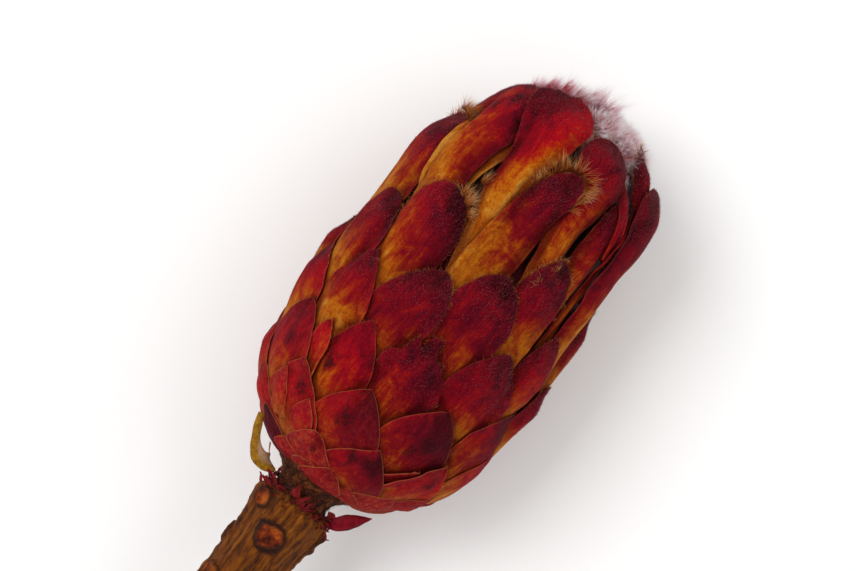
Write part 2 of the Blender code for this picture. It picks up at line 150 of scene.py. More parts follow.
def applyTree(thing, tree, sizes):
    # runs the tree once and keeps what it makes as a plain mesh
    modifier = thing.modifiers.new("rule", "NODES")
    modifier.node_group = tree
    for item in tree.interface.items_tree:
        if item.in_out == "INPUT" and item.name in sizes:
            modifier[item.identifier] = sizes[item.name]
    mesh = bpy.data.meshes.new_from_object(thing.evaluated_get(bpy.context.evaluated_depsgraph_get()))
    thing.modifiers.clear()
    thing.data = mesh
    places = np.empty(3 * len(mesh.vertices), np.float32)
    mesh.vertices.foreach_get("co", places)
    places[2::3] = np.maximum(places[2::3], head["finalClearance"] * mm)
    mesh.vertices.foreach_set("co", places)
    mesh.shade_smooth()
    mesh.update()
    print(thing.name + ":", len(mesh.polygons), "faces")
    return thing


def bladeFaces(rows, columns, start):
    # a closed thin blade: the outer grid, then the inner one, with a rim round both
    index = start + np.arange(rows * columns).reshape(rows, columns)
    under = index + rows * columns
    a, b, c, d = index[:-1, :-1], index[:-1, 1:], index[1:, 1:], index[1:, :-1]
    e, f, g, h = under[:-1, :-1], under[:-1, 1:], under[1:, 1:], under[1:, :-1]
    quads = [np.stack(k, -1).reshape(-1, 4) for k in (
        (a, b, c, d), (e, h, g, f),
        (index[:-1, 0], index[1:, 0], under[1:, 0], under[:-1, 0]),
        (index[1:, -1], index[:-1, -1], under[:-1, -1], under[1:, -1]),
        (index[0, 1:], index[0, :-1], under[0, :-1], under[0, 1:]),
        (index[-1, :-1], index[-1, 1:], under[-1, 1:], under[-1, :-1]),
    )]
    return np.concatenate(quads).tolist()


def turnedFaces(rings, sides, start=0):
    # a turned form, ring after ring, with its first and last ring closed
    faces = [list(range(start + sides - 1, start - 1, -1))]
    for i in range(rings - 1):
        for j in range(sides):
            k = (j + 1) % sides
            low, high = start + i * sides, start + (i + 1) * sides
            faces.append([low + j, low + k, high + k, high + j])
    faces.append(list(range(start + (rings - 1) * sides, start + rings * sides)))
    return faces


# The head's shape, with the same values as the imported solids

head = {
    "outline": ((0.7, 9.6), (1.5, 12.0), (2.6, 14.3), (4.4, 17.0), (7.0, 20.0), (13.0, 23.9), (21.0, 25.9),
                (33.0, 27.2), (40.0, 27.5), (50.0, 26.8), (60.0, 26.0), (68.0, 25.3), (76.0, 23.8),
                (84.0, 20.6), (92.5, 13.4)),
    "length": 92.5,
    "axisHeight": 25.1,
    "originHeight": 41.0,
    "flatReach": 25.9, "flatFrom": 0.5,  # the underside is pressed flat where it has lain
    "clearance": 0.03, "finalClearance": 0.02,  # how far all stays over the table, before and after relief
    "goldenTurn": 137.5,
    "lean": 2.3, "leanFrom": 66.0, "leanTo": 82.0,  # the top leans a little to one side
}
outline = smoothLine(head["outline"])
outlineAlong = np.concatenate([[0.0], np.cumsum(np.linalg.norm(np.diff(outline, axis=0), axis=1))])
outlineSlope = np.gradient(outline, outlineAlong, axis=0)


def place(height, radius, turn):
    return np.stack(np.broadcast_arrays(
        mm * (radius * np.sin(turn) + head["lean"] * ease(height, head["leanFrom"], head["leanTo"])),
        mm * (height - head["originHeight"]),
        mm * (head["axisHeight"] + radius * np.cos(turn)),
    ), axis=-1)


def fromAxis(points):
    # millimetres across, up from the neck and over the axis, turned into metres in the frame
    return mm * (points + np.array([0.0, -head["originHeight"], head["axisHeight"]]))


def awayFromAxis(points):
    radial = points * (1.0, 0.0, 1.0) - (0.0, 0.0, head["axisHeight"] * mm)
    return radial / (np.linalg.norm(radial, axis=-1)[..., None] + 1e-9)


def alongAt(height):
    return np.interp(height, outline[:, 0], outlineAlong)


def onHead(along, turn, depth):
    # a place under the outline: the distance along it from the neck, the turn, and how deep
    height, radius = (np.interp(along, outlineAlong, outline[:, i]) for i in (0, 1))
    rise, widening = (np.interp(along, outlineAlong, outlineSlope[:, i]) for i in (0, 1))
    below = -np.cos(turn)
    pressed = np.maximum(0.0, radius * below - head["flatReach"]) / np.maximum(below, head["flatFrom"])
    points = place(height + depth * widening, radius - depth * rise - pressed, turn)
    points[..., 2] = np.maximum(points[..., 2], head["clearance"] * mm)
    return points


# Bracts

bract = {
    "first": -21, "firstLong": 32, "last": 48, "baseTurn": -3.0,
    "tipSpans": ((-21, 4.9, 0.5), (-12, 9.4, 1.0), (0, 21.4, 1.36), (32, 76.5, 1.4)),  # from, height, step
    "widths": ((-21, 10.0), (-8, 16.4), (6, 16.4), (24, 15.0)), "longWidth": 11.8,
    "length": 34.0, "longLength": 52.0, "rootGap": 0.1,
    "tipLength": 12.0, "tipShare": 0.75, "spoonPoint": 0.48,
    "tipPoints": ((-21, 0.95), (0, 0.85), (12, 0.7), (24, 0.5)),  # how pointed, by number
    "narrowing": 0.12, "longNarrowing": 0.4, "narrowsFrom": 0.7,
    "thickness": 0.5, "edgeThickness": 0.16, "tipThickness": 0.5, "fullFrom": 3.0,
    "layers": ((-21, 0.0), (24, 4.0), (32, 5.0), (48, 7.2)),  # how deep each bract lies, by its number
    "rootSink": 1.2, "bulge": 0.7, "longBulge": 1.1, "bulgeFrom": 7.0,
    "wave": 0.5, "waveRates": (0.16, 0.1), "waveFrom": 3.0,
    "wobble": 0.22, "wobbleRates": (0.3, 1.4), "fineWobble": 0.35, "wobbleFrom": (0.3, 3.0),
    "firstRow": 0.03, "rows": 34, "longRows": 56, "columns": 21, "tornColumns": 45,
}
# The tip that has weathered into lobes: how far down it starts, place by place across.
tornTip = {
    "across": (-7.6, -7.0, -6.2, -5.2, -4.4, -3.8, -3.0, -2.1, -1.8, 0.0, 1.2, 1.7, 2.6, 3.6, 4.6, 5.6, 6.6,
               7.6),
    "drop": (8.4, 7.2, 6.6, 6.2, 3.0, 1.9, 2.6, 4.4, 0.6, 0.0, 0.3, 3.8, 4.4, 3.6, 5.8, 6.0, 8.2, 10.4),
    "narrowing": 0.07, "narrowsOver": (2.0, 12.0),
}
# Each bract settles onto those below it: a map of depths over the head, by distance and turn. Its margin and
# tip press onto what is there and lift off a little, and its body only keeps clear.
drape = {
    "step": 0.5, "turns": 360, "fill": (5, 3), "softenings": 2, "gap": 0.14, "bodyShare": 0.8,
    "marginFrom": 0.4, "tipPress": 7.0, "pressLimit": 1.5, "longPress": 0.8,
    "lift": 0.26, "liftWander": 0.45, "wanderRate": 0.25, "longLift": 0.3,
    "lowLifts": ((-14, -0.4), (-3, 0.0)),  # the lowest ones hug the neck
}
# Painted shade in hollows: the rings in which each point looks for higher neighbours, and the height that
# counts in full.
hollow = {"rings": ((0.8, 0.4), (1.8, 0.35), (3.2, 0.25)), "spokes": 10, "full": 0.6, "strength": 1.5}
# The solid heart that the bracts grow out of, seen only as darkness between them: its colour is painted full
# shade.
heart = {"depthBelow": 1.8, "depth": 3.2, "deepensOver": 24.0, "top": 62.0, "dome": 5.0, "rings": 44,
         "sides": 72, "domeRings": ((0.5, 0.93), (1.0, 0.7)), "clearance": 0.2}
# Fine relief: ribs along each bract, and leathery wrinkles.
bractRelief = {"ribDepth": 0.16 * mm, "ribScale": 1.5, "ribStretch": 0.1, "wrinkleDepth": 0.2 * mm,
               "wrinkleScale": 0.5, "edgeFade": 1.2}
# Colours of a bract that has none of its own: ranges to draw from, and values by its number.
bractTones = {
    "seed": 4, "red": (7.5, 10.5), "longRed": 4.0, "ochreBelowRed": (5.0, 8.0), "endBelowOchre": 16.0,
    "ripeness": (0.0, 0.48, 0.84, 1.0), "side": (-2.0, 2.0),
    "glow": (0.05, 0.3), "lowGlow": ((-12, 0.25), (4, 0.0)), "glowSide": (-0.2, 0.2),
    "coral": ((-21, 0.9), (-12, 0.6), (-2, 0.25), (8, 0.0)), "paleEdge": ((-14, 1.0), (6, 0.4), (16, 0.1)),
    "bruiseFlatness": 0.7, "tipMargin": 1.2,
}
# How single bracts stand off the rule. Turn, tip and width are added to it, the rest stands in its place:
# "laid" when it is laid, if not by its number, "lift" how far its margin stands up, "press" how far it may
# be pressed in, "stalk" how much it narrows down to "stalkEnd", and "point" how pointed the tip is.
# Colour runs from the tip through red at "red" millimetres to ochre at "ochre", shifted towards one "side".
# "glow" is how bright the red is, from maroon at 0, "glowSide" how much brighter to the right, and
# "coral" how orange and dull.
bractHabit = {
    -21: {"coral": 0.9},
    -18: {"turn": -11.0, "tip": 0.4, "glow": 0.0, "red": 14.0, "ochre": 30.0, "coral": 0.0},
    -16: {"turn": 10.0, "coral": 1.0},
    -13: {"point": 0.7, "coral": 1.0},
    -11: {"turn": -2.7, "tip": 1.3, "glow": 0.6, "coral": 0.5},
    -10: {"turn": -2.0, "tip": 2.1, "glow": 0.7, "coral": 0.55},
    -8: {"turn": -1.0, "tip": 0.2, "glow": 0.15, "glowSide": -0.35, "red": 9.0, "ochre": 18.0,
        "coral": 0.1},
    -5: {"turn": -1.4, "tip": 2.9, "glow": 0.6, "red": 9.0, "ochre": 15.0, "side": -2.0},
    -3: {"turn": -1.0, "tip": 0.5, "width": -3.0, "lift": 0.35, "glow": 0.5, "red": 8.0, "ochre": 14.0,
        "coral": 0.25},
    -2: {"tip": 3.0, "glow": 0.5, "coral": 0.4},
    0: {"turn": -0.6, "tip": 0.8, "width": 0.5, "glow": 0.15, "glowSide": -0.4, "red": 11.0, "ochre": 22.0,
        "side": -2.5},
    2: {"turn": -5.0, "tip": 2.2, "glow": 0.5, "red": 8.0, "ochre": 14.0, "side": -1.0},
    3: {"turn": 0.2, "tip": 3.8, "width": 0.8, "glow": 0.35, "red": 11.0, "ochre": 18.0, "side": 2.0},
    5: {"turn": -0.8, "tip": -0.6, "width": 1.2, "lift": 0.35, "glow": -0.1, "glowSide": -0.35, "red": 13.0,
        "ochre": 22.0, "side": -4.0},
    8: {"turn": 2.4, "tip": 0.6, "width": -3.4, "point": 0.8, "glow": 0.45, "red": 10.0, "ochre": 20.0},
    9: {"depth": -0.3},
    10: {"turn": -0.6, "tip": -0.6, "glow": 0.0, "red": 10.5, "ochre": 18.0},
    11: {"turn": 5.0, "tip": 3.8, "glow": 0.4, "red": 9.0, "ochre": 16.0, "side": 1.0},
    13: {"turn": -3.2, "tip": -1.2, "width": -0.4, "torn": True, "glow": 0.15, "red": 12.0, "ochre": 24.0,
        "side": 0.0},
    15: {"turn": -7.0, "tip": 1.3, "glow": 0.35, "red": 9.0, "ochre": 14.0, "side": 2.0},
    16: {"turn": 3.2, "tip": 1.3, "width": -1.7, "tipLength": 15.0, "point": 0.8, "glow": 0.35, "red": 8.5,
        "ochre": 15.0, "side": -1.0},
    18: {"turn": -5.8, "tip": -2.5, "width": 1.4, "tipLength": 13.0, "point": 0.7, "glow": 0.2,
        "glowSide": -0.2, "red": 13.0, "ochre": 20.0},
    19: {"turn": 5.0, "width": 1.5, "depth": 0.5, "tipLength": 9.0, "point": 0.5, "glow": 0.4, "red": 6.0,
        "ochre": 11.0},
    21: {"turn": 2.0, "tip": -1.2, "width": -0.4, "lean": 16.0, "tipLength": 12.5, "point": 0.6,
        "glow": 0.1, "red": 13.0, "ochre": 26.0, "side": -1.0},
    23: {"turn": -18.0, "tip": -1.1, "width": -3.6, "point": 0.7, "glow": 0.35, "red": 12.0, "ochre": 19.0,
        "side": 1.0},
    24: {"turn": 5.0, "tip": 1.8, "width": 1.0, "glow": 0.15, "red": 8.0, "ochre": 18.0, "side": -5.0},
    26: {"turn": -8.0, "tip": -1.8, "width": -0.4, "tipLength": 11.0, "point": 0.53, "glow": 0.05,
        "red": 15.0, "ochre": 26.0, "side": -1.5},
    28: {"turn": -14.0, "tip": 1.1, "glow": 0.2, "red": 8.0, "ochre": 14.0, "side": 2.0},
    29: {"turn": 1.2, "tip": 2.2, "width": 0.3, "depth": -0.2, "tipLength": 11.0, "glow": 0.2,
        "glowSide": -0.4, "red": 11.0, "ochre": 22.0, "side": -8.0},
    31: {"turn": -22.0, "tip": 0.6, "width": -3.2, "glow": 0.1, "red": 13.5, "ochre": 20.0, "side": 1.0},
    32: {"laid": 37.5, "turn": 13.0, "width": 5.6, "depth": 0.5, "bulge": 0.3, "stalk": 0.2, "glow": 0.2,
        "red": 11.0, "ochre": 21.0, "side": -2.5},
    34: {"turn": 5.5, "tip": -0.4, "width": -3.4, "lean": 9.0, "stalk": -0.25, "stalkEnd": 24.0,
        "tipLength": 7.0, "point": 0.48, "glow": 0.05, "red": 12.0, "ochre": 26.0, "side": -3.0},
    36: {"turn": -22.0, "tip": 4.4, "width": 1.5, "depth": -0.3, "press": 0.2, "stalk": 0.35,
        "tipLength": 6.5, "point": 0.44, "glow": 0.1, "red": 21.0, "ochre": 32.0, "side": 14.0},
    37: {"turn": 0.0, "tip": 7.4, "width": 3.7, "lean": -18.0, "depth": -0.6, "stalk": 0.3,
        "stalkEnd": 30.0, "tipLength": 10.0, "glow": 0.35, "glowSide": -0.3, "red": 14.0, "ochre": 32.0,
        "side": -14.0},
    39: {"turn": -19.0, "tip": 2.6, "width": 0.4, "lean": -17.0, "stalk": 0.5, "stalkEnd": 30.0,
        "tipLength": 8.0, "glow": 0.2, "red": 12.0, "ochre": 32.0, "side": 3.0},
    40: {"depth": 1.2, "glow": 0.1},
    41: {"turn": -20.0, "tip": -2.0, "depth": 1.0, "glow": 0.1},
    42: {"laid": 36.5, "turn": -6.8, "tip": 1.2, "width": 2.5, "lean": -26.0, "depth": -0.4, "stalk": 0.44,
        "stalkEnd": 24.0, "tipLength": 7.0, "glow": 0.6, "glowSide": 0.5, "red": 17.0, "ochre": 24.0,
        "side": 8.0},
    44: {"turn": -14.0, "tip": -0.8, "width": -6.3, "depth": 0.6, "tipLength": 6.0, "glow": 0.25,
        "red": 26.0, "ochre": 50.0},
    45: {"turn": -9.0, "depth": 0.9},
    46: {"turn": -34.0, "depth": 0.6},
    47: {"turn": -50.0, "tip": -3.0, "depth": 0.9},
    48: {"depth": 0.6},
}
# Bracts beside the rule, seen between the others: the place in the order, turn, tip and width are their own.
strayBracts = (
    {"order": 43.5, "laid": 44.4, "turn": 43.0, "tip": 82.0, "width": 7.5, "length": 42.0, "depth": 1.0,
     "tipLength": 9.0, "glow": 0.1, "red": 12.0, "ochre": 32.0, "side": -2.0},
    {"order": 43.0, "laid": 44.2, "turn": 35.0, "tip": 84.0, "width": 2.6, "length": 16.0, "lean": -15.0,
     "depth": 0.6, "tipLength": 6.0, "glow": 0.55, "red": 14.0, "ochre": 30.0},
    {"order": 6.0, "turn": -36.3, "tip": 28.7, "width": 5.2, "length": 15.0, "lift": 0.3, "tipLength": 7.0,
     "point": 0.8, "glow": 0.8, "red": 4.0, "ochre": 11.0, "coral": 0.3},
    {"order": -5.5, "turn": -44.5, "tip": 15.9, "width": 5.0, "length": 11.0, "tipLength": 5.0, "glow": 0.7,
     "red": 5.0, "ochre": 10.0, "coral": 0.7},
    {"order": -6.0, "turn": -25.5, "tip": 13.4, "width": 6.0, "length": 9.0, "tipLength": 6.0, "glow": 0.8,
     "red": 5.0, "ochre": 10.0, "coral": 0.6},
    {"order": -2.5, "turn": 39.5, "tip": 14.8, "width": 8.0, "length": 12.0, "lean": 8.0, "lift": 0.4,
     "tipLength": 7.0, "glow": 0.5, "red": 6.0, "ochre": 12.0, "coral": 0.5},
    {"order": -19.5, "turn": -36.0, "tip": 3.9, "width": 8.0, "length": 4.0, "tipLength": 3.0, "glow": 0.8,
     "coral": 1.0},
    {"order": -20.5, "turn": -10.0, "tip": 3.6, "width": 8.0, "length": 3.4, "tipLength": 3.0, "glow": 0.5,
     "coral": 0.9},
    {"order": -20.0, "turn": 25.0, "tip": 3.7, "width": 9.0, "length": 3.6, "tipLength": 3.0, "glow": 0.3,
     "coral": 0.9},
)
# Dark weathered patches: across and down from the tip, and their radius.
bruises = {
    -13: ((1.0, 4.0, 1.2),), -8: ((2.0, 4.5, 2.2), (-3.0, 5.0, 1.8)), -5: ((2.2, 5.5, 2.0),),
    -3: ((0.5, 5.5, 1.8),), 0: ((-1.0, 7.5, 2.8),), 3: ((1.0, 9.0, 2.2),),
    5: ((1.2, 7.0, 3.0), (-0.5, 10.5, 2.0)), 8: ((-2.8, 11.5, 2.2),),
    13: ((-1.0, 3.0, 1.6), (3.4, 7.0, 1.4)), 16: ((1.0, 2.5, 1.4),), 18: ((0.6, 6.0, 1.8),),
    32: ((1.0, 7.0, 2.2), (-1.5, 5.0, 1.8)), 37: ((-1.5, 4.5, 2.4), (0.5, 9.0, 2.4), (-2.5, 13.0, 1.8)),
    42: ((-3.4, 2.2, 1.6),),
}


def ruleTip(n):
    first, height, step = [span for span in bract["tipSpans"] if span[0] <= n][-1]
    return height + step * (n - first)


def layerAt(height):
    # the number of the bract whose tip the rule puts at this height
    numbers = np.arange(bract["first"], bract["last"] + 1)
    return np.interp(height, [ruleTip(n) for n in numbers], numbers)


def byNumber(n, pairs):
    numbers, values = zip(*pairs)
    return np.interp(n, numbers, values)


def heartDepth(along):
    return heart["depthBelow"] + (heart["depth"] - heart["depthBelow"]) * ease(along, 0, heart["deepensOver"])


def bractSpecs():
    # every bract with all its values, inner ones first
    specs = []
    numbers = [(n, None) for n in range(bract["first"], bract["last"] + 1)]
    for n, stray in numbers + [(stray["order"], stray) for stray in strayBracts]:
        own = dict(stray or bractHabit.get(n, {}))
        longOne = n >= bract["firstLong"]
        length = bract["longLength" if longOne else "length"]
        draw = np.random.default_rng([bractTones["seed"], int(10 * (n + 50))])
        red = own.get("red", draw.uniform(*bractTones["red"]) + (bractTones["longRed"] if longOne else 0))
        spec = {
            "order": n, "laid": n, "long": longOne, "torn": False, "lean": 0.0, "depth": 0.0,
            "length": length, "tipLength": bract["tipLength"], "stalkEnd": bract["tipShare"] * length,
            "point": bract["spoonPoint"] if longOne else byNumber(n, bract["tipPoints"]),
            "stalk": bract["longNarrowing" if longOne else "narrowing"],
            "bulge": bract["longBulge" if longOne else "bulge"],
            "press": drape["longPress" if longOne else "pressLimit"],
            "lift": drape["longLift"] if longOne else byNumber(n, drape["lowLifts"]),
            "red": red, "ochre": red + draw.uniform(*bractTones["ochreBelowRed"]),
            "glow": draw.uniform(*bractTones["glow"]) + byNumber(n, bractTones["lowGlow"]),
            "side": draw.uniform(*bractTones["side"]), "glowSide": draw.uniform(*bractTones["glowSide"]),
            "coral": byNumber(n, bractTones["coral"]),
        }
        if stray is None:
            own["turn"] = bract["baseTurn"] - head["goldenTurn"] * n + own.get("turn", 0.0)
            own["tip"] = min(ruleTip(n) + own.get("tip", 0.0), head["length"])
            own["width"] = own.get("width", 0.0)
            own["width"] += bract["longWidth"] if longOne else byNumber(n, bract["widths"])
        specs.append({**spec, **own})
    return sorted(specs, key=lambda spec: -spec["laid"])


def readRest(restMap, along, turn):
    # the depth of what lies there already, blended from the four nearest cells
    row = np.clip(along / drape["step"], 0, restMap.shape[0] - 1.001)
    column = np.mod(turn / (2 * math.pi), 1.0) * drape["turns"]
    i, j = row.astype(int), np.floor(column).astype(int) % drape["turns"]
    k, f, g = (j + 1) % drape["turns"], row - i, column - np.floor(column)
    near, far = ((1 - g) * restMap[m, j] + g * restMap[m, k] for m in (i, i + 1))
    return (1 - f) * near + f * far


def writeRest(restMap, along, turn, depth):
    # marks the map at several places inside each face, so that no cell is missed
    alongSteps, acrossSteps = drape["fill"]
    for a in np.linspace(0, 1, alongSteps):
        for b in np.linspace(0, 1, acrossSteps):
            alongHere, turnHere, depthHere = (
                (1 - a) * ((1 - b) * v[:-1, :-1] + b * v[:-1, 1:])
                + a * ((1 - b) * v[1:, :-1] + b * v[1:, 1:]) for v in (along, turn, depth))
            rows = np.clip(np.rint(alongHere / drape["step"]).astype(int), 0, restMap.shape[0] - 1)
            columns = np.rint(turnHere / (2 * math.pi) * drape["turns"]).astype(int) % drape["turns"]
            np.minimum.at(restMap, (rows, columns), depthHere)


def layBract(spec, restMap):
    # one bract as two grids of points, row after row from its tip, settled onto the map and marked on it
    n, width = spec["order"], spec["width"]
    columns = bract["tornColumns" if spec["torn"] else "columns"]
    down = np.linspace(0, 1, bract["longRows" if spec["long"] else "rows"])[:, None]
    across = np.sin(math.pi / 2 * np.linspace(-1, 1, columns))[None, :]
    tipAlong = alongAt(spec["tip"])
    length = min(spec["length"], tipAlong - bract["rootGap"])
    tipLength = min(spec["tipLength"], bract["tipShare"] * length)

    if spec["torn"]:
        drop = np.interp(across * 0.5 * width, tornTip["across"], tornTip["drop"])
        fromTip = drop + (length - drop) * down**2
        half = 0.5 * width * (1 - tornTip["narrowing"] * (1 - ease(fromTip, *tornTip["narrowsOver"])))
    else:
        fromTip = bract["firstRow"] + (length - bract["firstRow"]) * down**2 + 0 * across
        half = 0.5 * width * np.sin(math.pi / 2 * np.clip(fromTip / tipLength, 0, 1)) ** spec["point"]
    half = half * (1 - spec["stalk"] * ease(fromTip, bract["narrowsFrom"] * tipLength, spec["stalkEnd"]))
    side = np.sign(across)  # the numbers beside it and beside n only pick another stretch of the noise
    edge = noiseAt(bract["wobbleRates"][0] * fromTip, 7 * side, n * 2.3)
    edge = edge + bract["fineWobble"] * noiseAt(bract["wobbleRates"][1] * fromTip, side, n)
    aside = across * half + bract["wobble"] * side * across**2 * edge * ease(fromTip, *bract["wobbleFrom"])
    share = 1 - fromTip / length
    along = tipAlong - fromTip
    height, radius = (np.interp(along, outlineAlong, outline[:, i]) for i in (0, 1))
    angle = math.radians(spec["turn"]) + math.radians(spec["lean"]) * (share - 1) + aside / radius

    layer = layerAt(spec["tip"])
    if spec["tip"] > head["length"] - 1:  # the topmost tips all end at one height
        layer = max(n, layer)
    depth = byNumber(layer, bract["layers"]) - byNumber(layerAt(height), bract["layers"]) + spec["depth"]
    if not spec["long"]:
        depth = depth + bract["rootSink"] * (1 - share) ** 3
    depth = depth - spec["bulge"] * (1 - across**2) * ease(fromTip, 0, bract["bulgeFrom"])
    acrossRate, downRate = bract["waveRates"]
    wave = noiseAt(aside * acrossRate, fromTip * downRate, n * 5.3)
    depth = depth + bract["wave"] * wave * ease(fromTip, 0, bract["waveFrom"])
    thickness = bract["thickness"] + (bract["edgeThickness"] - bract["thickness"]) * across**2
    thinnest = bract["tipThickness"]
    thickness = thickness * (thinnest + (1 - thinnest) * ease(fromTip, 0, bract["fullFrom"]))

    # What lies highest around each point, softened, so that nothing below shows through a thin margin.
    rest = np.pad(readRest(restMap, along, angle), 1, mode="edge")
    around = [rest[i:i + share.shape[0], j:j + columns] for i in range(3) for j in range(3)]
    under = soften(np.min(around, axis=0), drape["softenings"])
    margin = ease(np.abs(across), drape["marginFrom"], 1.0)
    margin = np.maximum(margin, 1 - ease(fromTip, 0, drape["tipPress"]))
    wander = np.abs(noiseAt(drape["wanderRate"] * fromTip, across, n * 4.1))
    curl = drape["lift"] + spec["lift"] + drape["liftWander"] * wander
    settled = np.minimum(under - curl, depth + spec["press"])
    depth = depth + margin * (settled - depth)
    depth = np.minimum(depth, under - drape["gap"] - drape["bodyShare"] * thickness * (1 - margin))
    writeRest(restMap, along, angle, depth)
    outer, inner = (onHead(along, angle, d) for d in (depth, depth + thickness))
    return {"spec": spec, "outer": outer, "inner": inner, "aside": aside, "fromTip": fromTip, "half": half,
            "across": across + 0 * aside, "along": along, "angle": angle, "radius": radius, "depth": depth}


def hollowness(grid, restMap):
    # how much the bracts around stand over each point: the amount of painted shade that darkens the colour
    # there
    total = np.zeros(grid["depth"].shape)
    for reach, share in hollow["rings"]:
        for spoke in np.linspace(0, 2 * math.pi, hollow["spokes"], endpoint=False):
            over = readRest(restMap, grid["along"] + reach * np.sin(spoke),
                            grid["angle"] + reach * np.cos(spoke) / grid["radius"])
            total += share / hollow["spokes"] * np.clip((grid["depth"] - over) / hollow["full"], 0.0, 1.0)
    return np.clip(total * hollow["strength"], 0.0, 1.0)


def bractMarks(grid, restMap):
    # What the material reads. Place: across, from the tip, own number. Tone: ripeness, glow, coral.
    # Wear: distance to the margin, pale edge, bruise. Shade: painted shade, by how far the bracts around
    # stand over it.
    spec, across, fromTip = grid["spec"], grid["across"], grid["fromTip"]
    n = spec["order"]
    stops = (0, spec["red"], spec["ochre"], spec["ochre"] + bractTones["endBelowOchre"])
    ripeness = np.interp(fromTip + spec["side"] * across, stops, bractTones["ripeness"])
    glow = spec["glow"] + spec["glowSide"] * across
    bruise = np.zeros(across.shape)
    for u, v, size in bruises.get(n, ()):
        apart = (grid["aside"] - u) ** 2 + (bractTones["bruiseFlatness"] * (fromTip - v)) ** 2
        bruise = np.maximum(bruise, np.exp(-apart / size**2))
    margin = np.minimum((1 - np.abs(across)) * grid["half"], fromTip * bractTones["tipMargin"])
    stacks = {
        "leafPlace": (grid["aside"], fromTip, n * 9.7), "tone": (ripeness, glow, spec["coral"]),
        "wear": (margin, byNumber(n, bractTones["paleEdge"]), bruise)}
    marks = {key: np.tile(np.stack(np.broadcast_arrays(*values), -1).reshape(-1, 3), (2, 1))
             for key, values in stacks.items()}
    marks["shade"] = np.tile(hollowness(grid, restMap).ravel(), 2)
    return marks


def heartMesh(start):
    alongs = np.linspace(0.1, alongAt(heart["top"] - heart["dome"]), heart["rings"])
    heights, radii = (np.interp(alongs, outlineAlong, outline[:, i]) for i in (0, 1))
    radii = radii - heartDepth(alongs)
    rises, shares = np.array(heart["domeRings"]).T
    heights = np.append(heights, heights[-1] + heart["dome"] * rises)
    radii = np.append(radii, radii[-1] * shares)
    turns = np.linspace(0, 2 * math.pi, heart["sides"], endpoint=False)
    points = np.concatenate([place(np.full(len(turns), h), r, turns) for h, r in zip(heights, radii)])
    points[:, 2] = np.maximum(points[:, 2], heart["clearance"] * mm)
    # its marks paint it dark all over, with full painted shade and a bruise everywhere
    marks = {"leafPlace": points / mm, "tone": np.tile((0.3, 0.0, 0.0), (len(points), 1)),
             "wear": np.tile((3.0, 0.0, 1.0), (len(points), 1)), "shade": np.ones(len(points))}
    return points, turnedFaces(len(heights), heart["sides"], start), marks


def reliefTree(name, placeKey, fadeKey, sizes, material):
    # moves a surface in and out along its normals: long ribs and round wrinkles, fading to its margin
    tree, add, given = newTree(name, sizes)
    spot = add("GeometryNodeInputNamedAttribute", {"Name": placeKey}, "Attribute", data_type="FLOAT_VECTOR")
    stretch = add("ShaderNodeCombineXYZ", {"X": 1.0, "Y": given["ribStretch"], "Z": 1.0})
    long = add("ShaderNodeVectorMath", {0: spot, 1: stretch}, operation="MULTIPLY")
    ribs = add("ShaderNodeTexNoise", {"Vector": long, "Scale": given["ribScale"], "Detail": 3.0})
    wrinkles = add("ShaderNodeTexNoise", {"Vector": spot, "Scale": given["wrinkleScale"], "Detail": 3.0})
    ribs = add("ShaderNodeMath", {0: ribs, 1: 0.5}, operation="SUBTRACT")
    wrinkles = add("ShaderNodeMath", {0: wrinkles, 1: 0.5}, operation="SUBTRACT")
    wrinkles = add("ShaderNodeMath", {0: wrinkles, 1: given["wrinkleDepth"]}, operation="MULTIPLY")
    height = add("ShaderNodeMath", {0: ribs, 1: given["ribDepth"], 2: wrinkles}, operation="MULTIPLY_ADD")
    wear = add("GeometryNodeInputNamedAttribute", {"Name": fadeKey}, "Attribute", data_type="FLOAT_VECTOR")
    margin = add("ShaderNodeSeparateXYZ", {0: wear})
    fade = add("ShaderNodeMath", {0: margin, 1: given["edgeFade"]}, operation="DIVIDE", use_clamp=True)
    height = add("ShaderNodeMath", {0: height, 1: fade}, operation="MULTIPLY")
    normal = add("GeometryNodeInputNormal")
    offset = add("ShaderNodeVectorMath", {0: normal, "Scale": height}, operation="SCALE")
    moved = add("GeometryNodeSetPosition", {"Geometry": given["Geometry"], "Offset": offset})
    real = add("GeometryNodeRealizeInstances", {0: moved})
    add("NodeGroupOutput", {0: add("GeometryNodeSetMaterial", {"Geometry": real, "Material": material})})
    return tree


def makeBracts(material):
    alongs = np.arange(0, outlineAlong[-1] + 1, drape["step"])
    restMap = np.tile(heartDepth(alongs)[:, None], (1, drape["turns"]))
    grids = [layBract(spec, restMap) for spec in bractSpecs()]
    tree = reliefTree("bract relief", "leafPlace", "wear", bractRelief, material)
    pieces = []
    for name, long in (("scale_bracts", False), ("long_bracts", True)):
        points, faces, marks, start = [], [], {}, 0
        for grid in grids:
            if grid["spec"]["long"] == long:
                points += [grid["outer"].reshape(-1, 3), grid["inner"].reshape(-1, 3)]
                faces += bladeFaces(*grid["aside"].shape, start)
                start += 2 * grid["aside"].size
                for key, values in bractMarks(grid, restMap).items():
                    marks.setdefault(key, []).append(values)
        if not long:
            core, coreFaces, coreMarks = heartMesh(start)
            points.append(core)
            faces += coreFaces
            for key, values in coreMarks.items():
                marks[key].append(values)
        thing = makeObject(name, np.concatenate(points), faces, material,
                           {key: np.concatenate(values) for key, values in marks.items()})
        pieces.append(applyTree(thing, tree, bractRelief))
    return pieces, grids


